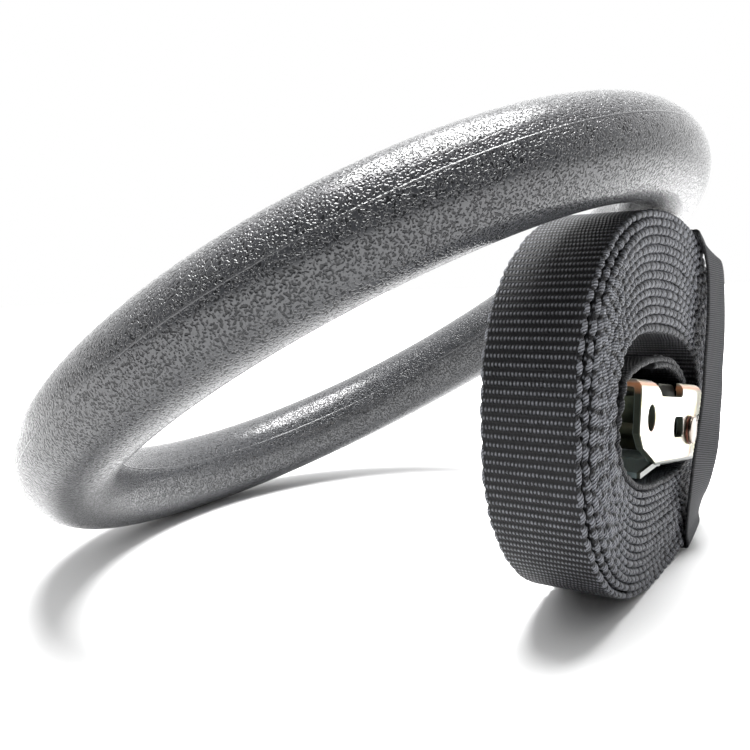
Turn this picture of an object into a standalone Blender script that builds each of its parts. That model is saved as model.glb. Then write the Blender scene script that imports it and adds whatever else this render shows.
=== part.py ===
"""A gymnastic ring leaning on its own rolled strap.

The ring is two moulded half shells closed on their middle plane. Its webbing strap starts in a sewn
loop on the bar of a cam buckle, arches over the buckle and is then wound round it into an oval roll.
A keeper band goes round the roll. The ring rests with its near side on the roll and its far side on
the ground.

Frame: metres, Z up, origin on the ground under the middle of the ring. X runs along the roll's long
axis, and the open face of the roll that shows the buckle looks along -Y.
"""

import math

import bmesh
import bpy
import numpy as np
from mathutils import Matrix, Vector

# Clearance between pieces that touch on the real object
TOUCH_GAP = 0.0003

# The moulded ring
RING_OUTER_DIAMETER = 0.235
RING_TUBE_DIAMETER = 0.0275
RING_WALL = 0.003
RING_TONGUE_HEIGHT = 0.002
RING_TONGUE_THICKNESS = 0.001
RING_RIB_COUNT = 8
RING_RIB_THICKNESS = 0.0025
RING_RIB_DEPTH = 0.004
RING_STEPS = 60
TUBE_OUTER_SEGMENTS = 12
TUBE_INNER_SEGMENTS = 6

# The webbing and its oval roll
STRAP_WIDTH = 0.025
STRAP_THICKNESS = 0.0011
ROLL_LENGTH = 0.138
ROLL_HEIGHT = 0.108
ROLL_SQUARENESS = 2.35
CORE_LENGTH = 0.085
CORE_HEIGHT = 0.0406
CORE_SQUARENESS = 2.5
CORE_TILT = math.radians(7)
CORE_PLACE = (-0.0015, -0.0035)
ROLL_TURNS = 14.5
POINTS_PER_TURN = 24
ROLL_START_ANGLE = math.radians(187.5)
FOOT_CUT = 0.0005
ROLL_OFFSET = 0.0089
RING_OVERHANG = 0.0096
# The most room between two points along a curved stretch, and the stretch of strap beside a point
# that isn't looked at when its room to itself is measured
ROUTE_STEP = 0.003
OWN_STRETCH = 0.012

# The cam buckle, in its own frame: origin on the cam's axle, x towards the sewn loop, z up
BUCKLE_TILT = math.radians(9)
BUCKLE_PLACE = (0.0153, -0.0123)
FRAME_WIDTH = 0.031
FRAME_PLATE = 0.002
FRAME_CORNER = 0.0028
FRAME_ENTRY_REACH = 0.0475
FRAME_LOOP_REACH = 0.0156
BASE_REACH = 0.0095
AXLE_ABOVE_FOOT = 0.0097
FRAME_HEIGHT = 0.0234
BRIDGE_LENGTH = 0.0125
NOTCH_START = 0.0291
NOTCH_END = 0.0081
NOTCH_DEPTH = 0.0042
NOTCH_LEAN = 0.0045
NOTCH_RADIUS = 0.0012
CHAMFER_LENGTH = 0.0196
CHAMFER_HEIGHT = 0.0082
CHAMFER_NOSE = 0.0035
SHOULDER_LENGTH = 0.0035
SHOULDER_DROP = 0.008
LIP_LENGTH = 0.0145
LIP_DROP = 0.0022
LIP_THICKNESS = 0.0015
ENTRY_HOLE_DIAMETER = 0.0072
ENTRY_HOLE_PLACE = (-0.0381, 0.0038)
WINDOW_SIZE = (0.0105, 0.0059)
WINDOW_PLACE = (-0.0109, 0.0010)
WINDOW_RADIUS = 0.0018

# The pins of the buckle
AXLE_DIAMETER = 0.005
AXLE_HEAD_DIAMETER = 0.0080
AXLE_HEAD_HEIGHT = 0.0006
WASHER_DIAMETER = 0.0086
WASHER_THICKNESS = 0.0005
LOOP_BAR_DIAMETER = 0.004
LOOP_BAR_PLACE = (0.0118, 0.0025)

# The sewn end of the strap, whose arch over the buckle is a row of points chosen by hand. The first
# ones are measured from the bar, the rest from the arch's peak and from the frame's entry end.
SEWN_TAIL_REACH = 0.0255
SEWN_LAYER_GAP = 0.0005
SEWN_START_RISE = 0.0072
ARCH_RISE = 0.0065
ARCH_FROM_BAR = [(0.0021, 0.0058), (-0.0002, 0.0092), (-0.0036, 0.0124)]
ARCH_FROM_PEAK = [(-0.0086, -0.0026), (-0.0144, -0.0008), (-0.0224, 0.0), (-0.0324, -0.0005)]
ARCH_OVER_ENTRY = [(0.0160, 0.0040), (0.0050, 0.0019)]
ARCH_TO_FIRST_TURN = [(-0.0040, 0.0140), (-0.0085, 0.0100)]
STITCH_ROWS = 7
STITCH_THREAD = 0.00045
STITCH_MARGIN = 0.003

# The cam lever
CAM_WIDTH = 0.020
CAM_HUB_DIAMETER = 0.0094
CAM_NOSE_RADIUS = 0.0074
CAM_TOOTH_DEPTH = 0.0006
CAM_TOOTH_COUNT = 5
CAM_NOSE_START = math.radians(-104)
CAM_NOSE_END = math.radians(-56)
LEVER_REACH = 0.0295
LEVER_RISE = 0.0132
LEVER_PLATE = 0.0035
LEVER_SHOULDER = 0.0118
LEVER_HEEL = 0.0046
LEVER_EDGE = 0.0012
LEVER_RIB_COUNT = 5
LEVER_RIB_HEIGHT = 0.0005

# The torsion spring beside the cam
SPRING_WIRE = 0.0008
SPRING_TURNS = 2
SPRING_HOOK_REACH = 0.0102
SPRING_HOOK_LENGTH = 0.004

# The keeper band, an elastic tape round the roll
KEEPER_WIDTH = 0.015
KEEPER_THICKNESS = 0.0007
KEEPER_REST = TOUCH_GAP + KEEPER_THICKNESS / 2
KEEPER_TOP_SHARE = 0.37
KEEPER_FOOT_SHARE = 0.17
# Its left edge across the open face, row by row: how far it lies from the axle towards the roll's
# right end, how far out from the roll's face towards the ear's, its height as a share of the roll's,
# and in degrees how far the tape turns out from the face and falls to the right
KEEPER_FACE_SHARES = [
    (0.412, 0.08, 0.896, 1, 22),
    (0.452, 0.20, 0.871, 4, 14),
    (0.477, 0.30, 0.844, 6, 9),
    (0.492, 0.45, 0.800, 6, 6),
    (0.469, 0.62, 0.741, 6, 6),
    (0.423, 0.78, 0.676, 7, 7),
    (0.363, 0.90, 0.606, 8, 9),
    (0.302, 1.00, 0.537, 8, 10),
    (0.261, 1.05, 0.472, 9, 11),
    (0.203, 1.05, 0.407, 10, 12),
    (0.134, 1.05, 0.350, 12, 13),
    (0.075, 1.00, 0.292, 12, 12),
    (0.052, 0.75, 0.199, 8, 4),
    (0.075, 0.40, 0.120, 3, -8),
    (0.115, 0.12, 0.060, 0, -14),
]

RING_RADIUS = (RING_OUTER_DIAMETER - RING_TUBE_DIAMETER) / 2
TUBE_RADIUS = RING_TUBE_DIAMETER / 2
FRAME_INSIDE = FRAME_WIDTH / 2 - FRAME_PLATE
FRAME_FOOT = -AXLE_ABOVE_FOOT
FRAME_TOP = FRAME_HEIGHT - AXLE_ABOVE_FOOT
FRAME_CORNERS = [(-1, FRAME_FOOT), (1, FRAME_FOOT), (1, FRAME_TOP), (-1, FRAME_TOP)]


def clear_scene():
    """Removes whatever the startup file holds."""
    for found in list(bpy.data.objects):
        bpy.data.objects.remove(found)


def collection(name):
    """A new collection in the scene."""
    made = bpy.data.collections.new(name)
    bpy.context.scene.collection.children.link(made)
    return made


def material(name, colour, roughness, metallic=0.0):
    """A Principled material of one colour."""
    made = bpy.data.materials.new(name)
    made.use_nodes = True
    shader = made.node_tree.nodes["Principled BSDF"]
    shader.inputs["Base Color"].default_value = (*colour, 1.0)
    shader.inputs["Roughness"].default_value = roughness
    shader.inputs["Metallic"].default_value = metallic
    return made


def add_object(name, mesh, place, skin=None):
    """An object that holds the mesh, in the given collection."""
    made = bpy.data.objects.new(name, mesh)
    place.objects.link(made)
    if skin:
        mesh.materials.append(skin)
    return made


def mesh_of(name, build):
    """A mesh filled by a function that takes an empty bmesh."""
    shape = bmesh.new()
    build(shape)
    made = bpy.data.meshes.new(name)
    shape.to_mesh(made)
    shape.free()
    return made


def smooth(thing, degrees=35):
    """Shades a mesh smooth, with edges over that angle kept sharp."""
    thing.data.shade_smooth()
    thing.data.set_sharp_from_angle(angle=math.radians(degrees))


def evaluated_copy(thing):
    """The mesh of an object with its modifiers applied and its doubles merged."""
    bpy.context.view_layer.update()
    made = bpy.data.meshes.new_from_object(thing.evaluated_get(bpy.context.evaluated_depsgraph_get()))
    shape = bmesh.new()
    shape.from_mesh(made)
    bmesh.ops.remove_doubles(shape, verts=shape.verts, dist=1e-6)
    shape.to_mesh(made)
    shape.free()
    return made


def box_mesh(name, low, high):
    """A box between two corners."""
    size = Vector(high) - Vector(low)
    centre = (Vector(high) + Vector(low)) / 2

    def build(shape):
        bmesh.ops.create_cube(shape, size=1, matrix=Matrix.Translation(centre) @ Matrix.Diagonal((*size, 1)))

    return mesh_of(name, build)


def pin_mesh(name, diameter, start, end, place=(0, 0), segments=24):
    """A cylinder along Y from start to end, at that x and z."""
    turn = Matrix.Rotation(math.radians(90), 4, "X")
    middle = Matrix.Translation((place[0], (start + end) / 2, place[1]))

    def build(shape):
        bmesh.ops.create_cone(
            shape,
            cap_ends=True,
            segments=segments,
            radius1=diameter / 2,
            radius2=diameter / 2,
            depth=end - start,
            matrix=middle @ turn,
        )

    return mesh_of(name, build)


def rounded(corners, segments=4):
    """The outline through corners given as (x, z, radius), with an arc at each that has a radius."""
    outline = []
    for index, (x, z, radius) in enumerate(corners):
        here = Vector((x, z))
        if radius == 0:
            outline.append(here)
            continue
        before = Vector(corners[index - 1][:2]) - here
        after = Vector(corners[(index + 1) % len(corners)][:2]) - here
        half = before.angle(after) / 2
        centre = here + (before.normalized() + after.normalized()).normalized() * radius / math.sin(half)
        first = here + before.normalized() * radius / math.tan(half) - centre
        last = here + after.normalized() * radius / math.tan(half) - centre
        sweep = first.angle_signed(last)
        for step in range(segments + 1):
            turn = Matrix.Rotation(-sweep * step / segments, 2)
            outline.append(centre + turn @ first)
    return outline


def plate_mesh(name, outline, start, end):
    """A flat outline in x and z, extruded along Y from start to end."""
    curve = bpy.data.curves.new(name, "CURVE")
    curve.dimensions = "2D"
    curve.fill_mode = "BOTH"
    curve.extrude = (end - start) / 2
    spline = curve.splines.new("POLY")
    spline.points.add(len(outline) - 1)
    for point, (x, z) in zip(spline.points, outline):
        point.co = (x, z, 0, 1)
    spline.use_cyclic_u = True
    guide = bpy.data.objects.new(name, curve)
    bpy.context.scene.collection.objects.link(guide)
    made = evaluated_copy(guide)
    bpy.data.objects.remove(guide)
    stand = Matrix.Rotation(math.radians(90), 4, "X")
    made.transform(Matrix.Translation((0, (start + end) / 2, 0)) @ stand)
    return made


def cut(thing, operation, *tools):
    """Cuts or joins an object by the given meshes, held as wire guides that don't render."""
    for mesh in tools:
        tool = add_object(f"tool_{mesh.name}", mesh, CUTTERS)
        tool.matrix_world = thing.matrix_world
        tool.hide_render = True
        tool.display_type = "WIRE"
        modifier = thing.modifiers.new(mesh.name, "BOOLEAN")
        modifier.operation = operation
        modifier.solver = "EXACT"
        modifier.object = tool


def strip_mesh(name, columns, closed=False):
    """A surface of quads between neighbouring columns of points, joined end to end where it is closed."""

    def build(shape):
        corners = [[shape.verts.new(point) for point in column] for column in columns]
        count = len(corners[0])
        for near, far in zip(corners, corners[1:]):
            for step in range(count if closed else count - 1):
                after = (step + 1) % count
                shape.faces.new((near[step], near[after], far[after], far[step]))

    return mesh_of(name, build)


def spline_point(a, b, c, d, u):
    """The point at share u from b to c of the smooth curve through a, b, c and d."""
    return 0.5 * (2 * b + (c - a) * u + (2 * a - 5 * b + 4 * c - d) * u**2 + (3 * b - 3 * c + d - a) * u**3)


def smooth_route(points, spacing):
    """Points about that far apart along the smooth curve that passes through all the given ones."""
    knots = np.array(points, float)
    ends = np.vstack([2 * knots[0] - knots[1], knots, 2 * knots[-1] - knots[-2]])
    route = []
    for a, b, c, d in zip(ends, ends[1:], ends[2:], ends[3:]):
        count = max(1, round(float(np.linalg.norm(c - b)) / spacing))
        for u in np.arange(count) / count:
            route.append(spline_point(a, b, c, d, u))
    route.append(knots[-1])
    return np.array(route)


def superellipse(half_length, half_height, squareness, angle):
    """The point at that angle of an oval whose squareness is 2 for an ellipse and more for a fuller one."""
    c, s = np.cos(angle), np.sin(angle)
    return np.stack(
        [
            half_length * np.sign(c) * np.abs(c) ** (2 / squareness),
            half_height * np.sign(s) * np.abs(s) ** (2 / squareness),
        ],
        axis=-1,
    )


def turned(points, angle):
    """Points in x and z turned clockwise, as seen with x to the right and z up."""
    c, s = math.cos(angle), math.sin(angle)
    return points @ np.array([[c, -s], [s, c]])


def roll_route():
    """The middle of the webbing along the wound turns, in x and z from the middle of the roll.

    Each point lies on the line from the core's outline to the roll's outline at the same angle, and
    moves out along it at a steady rate.
    """
    steps = round(ROLL_TURNS * POINTS_PER_TURN)
    angle = ROLL_START_ANGLE + np.arange(steps + 1) * 2 * math.pi / POINTS_PER_TURN
    half = STRAP_THICKNESS / 2
    core = superellipse(CORE_LENGTH / 2 + half, CORE_HEIGHT / 2 + half, CORE_SQUARENESS, angle + CORE_TILT)
    core = turned(core, CORE_TILT) + np.array(CORE_PLACE)
    rim = superellipse(ROLL_LENGTH / 2 - half, ROLL_HEIGHT / 2 - half, ROLL_SQUARENESS, angle)
    share = np.linspace(0, 1, steps + 1)[:, None]
    return core + share * (rim - core)


def from_buckle(points):
    """Points of the buckle's frame, in x and z from the middle of the roll."""
    return turned(np.array(points, float), BUCKLE_TILT) + np.array(BUCKLE_PLACE)


def loop_route():
    """The sewn end of the webbing in the buckle's frame: its tail, the turn round the bar and the arch."""
    bar = np.array(LOOP_BAR_PLACE)
    entry = np.array([-FRAME_ENTRY_REACH, FRAME_TOP + TOUCH_GAP + STRAP_THICKNESS / 2])
    peak = np.array([bar[0], FRAME_TOP + ARCH_RISE])
    wrap = LOOP_BAR_DIAMETER / 2 + TOUCH_GAP + STRAP_THICKNESS / 2
    leave = bar + (wrap, wrap - LOOP_BAR_DIAMETER / 8)
    arch = np.vstack([[leave], bar + ARCH_FROM_BAR, peak + ARCH_FROM_PEAK, entry + ARCH_OVER_ENTRY])
    arch = smooth_route(arch, ROUTE_STEP)
    run = np.gradient(arch, axis=0)
    run /= np.linalg.norm(run, axis=1)[:, None]
    inward = np.stack([-run[:, 1], run[:, 0]], axis=1)
    under = (arch + inward * (STRAP_THICKNESS + SEWN_LAYER_GAP))[::-1]
    sewn = (under[:, 1] > bar[1] + SEWN_START_RISE) & (under[:, 0] > -SEWN_TAIL_REACH)
    neck = bar + [(-0.7 * wrap, 1.8 * wrap), (-wrap, 0.77 * wrap)]
    around = np.radians(np.linspace(180, 360, 9))
    bend = bar + wrap * np.stack([np.cos(around), np.sin(around)], axis=1)
    return np.vstack([under[sewn], neck, bend, arch])


def strap_route():
    """The middle of the whole webbing, from its sewn tail to its loose end, in x and z."""
    loop = from_buckle(loop_route())
    turns = roll_route()
    entry = np.array([-FRAME_ENTRY_REACH, 0])
    lead_in = from_buckle(entry + ARCH_TO_FIRST_TURN)
    return np.vstack([loop, smooth_route([loop[-1], *lead_in, turns[0]], ROUTE_STEP)[1:-1], turns])


def least_gap(route, thickness):
    """The least room between the faces of two stretches of a band that lie apart along it."""
    parts = [a + np.arange(0, 1, 0.1)[:, None] * (b - a) for a, b in zip(route, route[1:])]
    points = np.vstack(parts)
    along = np.concatenate([[0], np.cumsum(np.linalg.norm(np.diff(points, axis=0), axis=1))])
    least = math.inf
    for start in range(0, len(points), 400):
        block = slice(start, start + 400)
        away = np.linalg.norm(points[block, None] - points[None], axis=2)
        near = np.abs(along[block, None] - along[None]) < OWN_STRETCH
        least = min(least, float(np.where(near, math.inf, away).min()))
    return least - thickness


STRAP_ROUTE = strap_route()
STRAP_LENGTH = float(np.linalg.norm(np.diff(STRAP_ROUTE, axis=0), axis=1).sum())
OUTER_TURN = STRAP_ROUTE[-POINTS_PER_TURN - 2 :]
ROLL_CENTRE_Z = STRAP_THICKNESS / 2 - FOOT_CUT - float(OUTER_TURN[:, 1].min())


def roll_surface(offset, side):
    """Height over the ground of the roll's outer face at that x from its middle: side 1 is the top."""
    half = OUTER_TURN[OUTER_TURN[:, 1] * side > 0]
    half = half[np.argsort(half[:, 0])]
    return ROLL_CENTRE_Z + float(np.interp(offset, half[:, 0], half[:, 1])) + side * STRAP_THICKNESS / 2


def keeper_x(reach):
    """The x from the roll's middle of a point that lies that share of the way from the axle to its end."""
    return BUCKLE_PLACE[0] + reach * (ROLL_LENGTH / 2 - BUCKLE_PLACE[0])


def keeper_seat(left, side):
    """The tape's section across the roll's top, side 1, or foot, side -1: x and z of edge, middle, edge."""
    half = KEEPER_WIDTH / 2
    seat = [(left, roll_surface(left, side))]
    for _ in range(2):
        x, z = seat[-1]
        slope = math.atan2(roll_surface(x + half, side) - z, half)
        x += half * math.cos(slope)
        seat.append((x, roll_surface(x, side)))
    places = np.linspace(seat[0][0], seat[-1][0], 17)
    chord = np.interp(places, *np.transpose(seat))
    bulge = max(side * (roll_surface(x, side) - z) for x, z in zip(places, chord))
    lift = side * (bulge + KEEPER_REST / math.cos(slope))
    return [(x, z + lift) for x, z in seat]


def ring_line(lean, count=181):
    """The middle line of the ring's tube for that lean, over the half circle that is nearest to -Y."""
    angle = np.linspace(-math.pi / 2, math.pi / 2, count)
    return np.stack(
        [
            RING_RADIUS * np.sin(angle),
            -RING_RADIUS * np.cos(angle) * math.cos(lean),
            RING_RADIUS * (1 + np.cos(angle)) * math.sin(lean) + TUBE_RADIUS,
        ],
        axis=-1,
    )


def ring_clearance(lean):
    """The least room between the leaning ring and what lies under it, the roll and the keeper band."""
    line = ring_line(lean)
    middle = -RING_RADIUS * math.cos(lean) + RING_OVERHANG
    across = np.maximum(np.abs(line[:, 1] - middle) - STRAP_WIDTH / 2, 0)
    roll = OUTER_TURN[OUTER_TURN[:, 1] > 0] + (0, ROLL_CENTRE_Z)
    tape = np.array(keeper_seat(keeper_x(KEEPER_TOP_SHARE), 1))
    fine = np.linspace(0, 1, 9)[:-1, None]
    rooms = []
    for row, thickness in ((roll, STRAP_THICKNESS), (tape, KEEPER_THICKNESS)):
        rim = np.vstack([a + fine * (b - a) for a, b in zip(row, row[1:])] + [row[-1]]) + (ROLL_OFFSET, 0)
        flat = np.linalg.norm(line[:, None, [0, 2]] - rim[None], axis=2).min(axis=1) - thickness / 2
        rooms.append(float(np.hypot(flat, across).min()) - TUBE_RADIUS)
    return min(rooms)


def ring_lean():
    """The lean at which the ring lies on the roll and its band with the touching gap, found by halving."""
    low, high = math.radians(5), math.radians(70)
    for _ in range(40):
        middle = (low + high) / 2
        if ring_clearance(middle) < TOUCH_GAP:
            low = middle
        else:
            high = middle
    return high


RING_LEAN = ring_lean()
RING_CENTRE_Z = RING_RADIUS * math.sin(RING_LEAN) + TUBE_RADIUS
ROLL_Y = -RING_RADIUS * math.cos(RING_LEAN) + RING_OVERHANG


def arc(radius, start, end, segments):
    """Points of an arc between two angles in degrees."""
    angles = np.radians(np.linspace(start, end, segments + 1))
    return [(radius * math.cos(a), radius * math.sin(a)) for a in angles]


def lower_profile():
    """Section of the lower half shell, with a tongue on the inner half of each rim."""
    inside = TUBE_RADIUS - RING_WALL
    tongue = inside + RING_TONGUE_THICKNESS
    rim = -TOUCH_GAP / 2
    dip = math.degrees(math.asin(-rim / TUBE_RADIUS))
    outer = arc(TUBE_RADIUS, -dip, dip - 180, TUBE_OUTER_SEGMENTS)
    inner = arc(inside, -180, 0, TUBE_INNER_SEGMENTS)
    left = [(-tongue, rim), (-tongue, RING_TONGUE_HEIGHT), (-inside, RING_TONGUE_HEIGHT)]
    right = [(-x, z) for x, z in reversed(left)]
    return outer + left + inner + right


def upper_profile():
    """Section of the upper half shell, with a rebate that takes the tongue of the lower one."""
    inside = TUBE_RADIUS - RING_WALL
    rebate = inside + RING_TONGUE_THICKNESS + TOUCH_GAP
    depth = RING_TONGUE_HEIGHT + TOUCH_GAP
    rim = TOUCH_GAP / 2
    rise = math.degrees(math.asin(rim / TUBE_RADIUS))
    lift = math.degrees(math.asin(depth / inside))
    outer = arc(TUBE_RADIUS, 180 - rise, rise, TUBE_OUTER_SEGMENTS)
    inner = arc(inside, lift, 180 - lift, TUBE_INNER_SEGMENTS)
    right = [(rebate, rim), (rebate, depth)]
    left = [(-x, z) for x, z in reversed(right)]
    return outer + right + inner + left


def half_shell(name, profile, side, skin):
    """One half of the ring: its section turned about the ring's axis, with cross ribs inside."""
    mesh = bpy.data.meshes.new(name)
    count = len(profile)
    points = [(RING_RADIUS + x, 0, z) for x, z in profile]
    mesh.from_pydata(points, [(i, (i + 1) % count) for i in range(count)], [])
    shell = add_object(name, mesh, PARTS, skin)
    screw = shell.modifiers.new("turn", "SCREW")
    screw.steps = RING_STEPS
    screw.render_steps = RING_STEPS
    screw.use_merge_vertices = True
    screw.merge_threshold = 0.00001
    screw.use_smooth_shade = True
    shell.data = evaluated_copy(shell)
    shell.modifiers.clear()
    inside = TUBE_RADIUS - RING_WALL / 2
    level = RING_TONGUE_HEIGHT + RING_RIB_DEPTH / 4
    dip = math.degrees(math.asin(level / inside))
    half_disc = [(RING_RADIUS + x, side * z) for x, z in arc(inside, dip, 180 - dip, 8)]
    core = [(RING_RADIUS + x, side * z) for x, z in arc(inside - RING_WALL / 2 - RING_RIB_DEPTH, 180, 0, 6)]
    core = [(x, side * max(abs(z), level)) for x, z in core]
    rib = plate_mesh(f"{name}_rib", half_disc + core, -RING_RIB_THICKNESS / 2, RING_RIB_THICKNESS / 2)
    step = 2 * math.pi / RING_RIB_COUNT
    ribs = bmesh.new()
    for index in range(RING_RIB_COUNT):
        one = rib.copy()
        one.transform(Matrix.Rotation(step * (index + 0.5), 4, "Z"))
        ribs.from_mesh(one)
        bpy.data.meshes.remove(one)
    bmesh.ops.recalc_face_normals(ribs, faces=ribs.faces)
    ribs.to_mesh(rib)
    ribs.free()
    shell.parent = RING_AXIS
    bpy.context.view_layer.update()
    cut(shell, "UNION", rib)
    smooth(shell)
    return shell


def strap_webbing(skin):
    """The whole strap: one band from the sewn tail to the loose end, cut flat where it stands."""
    rows = []
    for y in (ROLL_Y - STRAP_WIDTH / 2, ROLL_Y + STRAP_WIDTH / 2):
        rows.append([(ROLL_OFFSET + x, y, ROLL_CENTRE_Z + z) for x, z in STRAP_ROUTE])
    strap = add_object("strap_webbing", strip_mesh("strap_webbing", rows), PARTS, skin)
    wall = strap.modifiers.new("thickness", "SOLIDIFY")
    wall.thickness = STRAP_THICKNESS
    wall.offset = 0
    wall.use_even_offset = True
    reach = ROLL_LENGTH / 2 + STRAP_WIDTH
    ground = box_mesh(
        "ground",
        (ROLL_OFFSET - reach, ROLL_Y - STRAP_WIDTH, -ROLL_HEIGHT / 4),
        (ROLL_OFFSET + reach, ROLL_Y + STRAP_WIDTH, 0),
    )
    cut(strap, "DIFFERENCE", ground)
    smooth(strap)
    return strap


def tube_object(name, points, diameter, skin):
    """A round tube through points, in the buckle's frame."""
    curve = bpy.data.curves.new(name, "CURVE")
    curve.dimensions = "3D"
    curve.bevel_depth = diameter / 2
    curve.bevel_resolution = 1
    curve.use_fill_caps = True
    spline = curve.splines.new("POLY")
    spline.points.add(len(points) - 1)
    for point, place in zip(spline.points, points):
        point.co = (*place, 1)
    tube = add_object(name, curve, PARTS, skin)
    tube.parent = BUCKLE_AXIS
    return tube


def loop_stitching(skin):
    """The thread that closes the sewn loop: rows across the doubled webbing, in one unbroken run."""
    route = loop_route()
    first = int(np.argmax(route[:, 1])) - STITCH_ROWS // 2
    half_width = STRAP_WIDTH / 2 - STITCH_MARGIN
    lift = STRAP_THICKNESS / 2 + TOUCH_GAP + STITCH_THREAD / 2
    points = []
    for row in range(STITCH_ROWS):
        at = first + row
        run = route[at + 1] - route[at - 1]
        up = np.array([run[1], -run[0]]) / np.linalg.norm(run)
        x, z = route[at] + up * lift
        side = 1 if row % 2 else -1
        points += [(x, side * half_width, z), (x, -side * half_width, z)]
    return tube_object("loop_stitching", points, STITCH_THREAD, skin)


def buckle_frame(skin):
    """The bent plate: a base with two ears, closed over the top at the entry end."""
    half = FRAME_WIDTH / 2
    inner = FRAME_CORNER - FRAME_PLATE
    outside = rounded([(s * half, z, FRAME_CORNER) for s, z in FRAME_CORNERS])
    inside = [
        (s * (half - FRAME_PLATE), z + FRAME_PLATE * (1 if z < 0 else -1), inner) for s, z in FRAME_CORNERS
    ]
    lengthways = Matrix.Rotation(math.radians(-90), 4, "Z")
    tube = plate_mesh("buckle_frame", outside, -FRAME_LOOP_REACH, FRAME_ENTRY_REACH)
    bore = plate_mesh("channel", rounded(inside), -2 * FRAME_LOOP_REACH, 2 * FRAME_ENTRY_REACH)
    for mesh in (tube, bore):
        mesh.transform(lengthways.inverted())
    frame = add_object("buckle_frame", tube, PARTS, skin)
    frame.parent = BUCKLE_AXIS
    bpy.context.view_layer.update()
    reach = FRAME_WIDTH
    bridge_end = -FRAME_ENTRY_REACH + BRIDGE_LENGTH
    open_top = box_mesh(
        "open_top",
        (bridge_end, -FRAME_INSIDE + TOUCH_GAP, 0),
        (2 * FRAME_LOOP_REACH, FRAME_INSIDE - TOUCH_GAP, FRAME_HEIGHT),
    )
    open_foot = box_mesh(
        "open_foot",
        (BASE_REACH, -FRAME_INSIDE + TOUCH_GAP, -FRAME_HEIGHT),
        (2 * FRAME_LOOP_REACH, FRAME_INSIDE - TOUCH_GAP, 0),
    )
    notch_floor = FRAME_TOP - NOTCH_DEPTH
    above = FRAME_TOP + FRAME_PLATE
    notch = plate_mesh(
        "notch",
        rounded(
            [
                (-NOTCH_END + FRAME_PLATE, above, 0),
                (-NOTCH_END, notch_floor, NOTCH_RADIUS),
                (-NOTCH_START, notch_floor, NOTCH_RADIUS),
                (-NOTCH_START - NOTCH_LEAN, FRAME_TOP - NOTCH_DEPTH / 6, 0),
                (bridge_end - FRAME_PLATE, above, 0),
            ]
        ),
        -reach,
        reach,
    )
    root = -FRAME_ENTRY_REACH + CHAMFER_LENGTH
    far = -2 * FRAME_ENTRY_REACH
    chamfer = plate_mesh(
        "chamfer",
        [
            (root + FRAME_PLATE, 3 * FRAME_FOOT),
            (root, FRAME_FOOT),
            (-FRAME_ENTRY_REACH + CHAMFER_NOSE, FRAME_FOOT + 0.7 * CHAMFER_HEIGHT),
            (-FRAME_ENTRY_REACH - 0.3 * CHAMFER_NOSE, FRAME_FOOT + 1.3 * CHAMFER_HEIGHT),
            (far, 0),
            (far, 3 * FRAME_FOOT),
        ],
        -reach,
        reach,
    )
    open_entry = box_mesh(
        "open_entry",
        (far, -FRAME_INSIDE + TOUCH_GAP, -FRAME_HEIGHT),
        (root, FRAME_INSIDE - TOUCH_GAP, FRAME_FOOT + 2 * FRAME_PLATE),
    )
    corner = (FRAME_LOOP_REACH - SHOULDER_LENGTH, FRAME_TOP - SHOULDER_DROP)
    curved = [(corner[0] + SHOULDER_LENGTH * x, corner[1] + SHOULDER_DROP * z) for x, z in arc(1, 90, 0, 5)]
    shoulder = plate_mesh("shoulder", [*curved, (2 * FRAME_LOOP_REACH, above)], -reach, reach)
    hole = pin_mesh("entry_hole", ENTRY_HOLE_DIAMETER, -reach, reach, ENTRY_HOLE_PLACE)
    x, z = WINDOW_PLACE
    dx, dz = WINDOW_SIZE[0] / 2, WINDOW_SIZE[1] / 2
    corners = [(x + i * dx, z + j * dz, WINDOW_RADIUS) for i, j in ((-1, -1), (1, -1), (1, 1), (-1, 1))]
    window = plate_mesh("window", rounded(corners, 3), -reach, reach)
    axle_hole = pin_mesh("axle_hole", AXLE_DIAMETER + 2 * TOUCH_GAP, -reach, reach)
    bar_hole = pin_mesh("bar_hole", LOOP_BAR_DIAMETER + 2 * TOUCH_GAP, -reach, reach, LOOP_BAR_PLACE)
    cut(frame, "DIFFERENCE", bore, open_top, open_foot, open_entry, notch, chamfer, shoulder)
    cut(frame, "DIFFERENCE", hole, window, axle_hole, bar_hole)
    tip = root - LIP_LENGTH
    low = FRAME_FOOT + (FRAME_PLATE - LIP_THICKNESS) / 2
    lip = plate_mesh(
        "lip",
        [
            (root + 2 * LIP_THICKNESS, low),
            (root, low),
            (tip, FRAME_FOOT - LIP_DROP),
            (tip - 0.2 * LIP_THICKNESS, FRAME_FOOT - LIP_DROP + LIP_THICKNESS),
            (root - 0.5 * LIP_THICKNESS, low + LIP_THICKNESS),
            (root + 2 * LIP_THICKNESS, low + LIP_THICKNESS),
        ],
        -FRAME_INSIDE - FRAME_PLATE / 2,
        FRAME_INSIDE + FRAME_PLATE / 2,
    )
    cut(frame, "UNION", lip)
    smooth(frame)
    return frame


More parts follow.
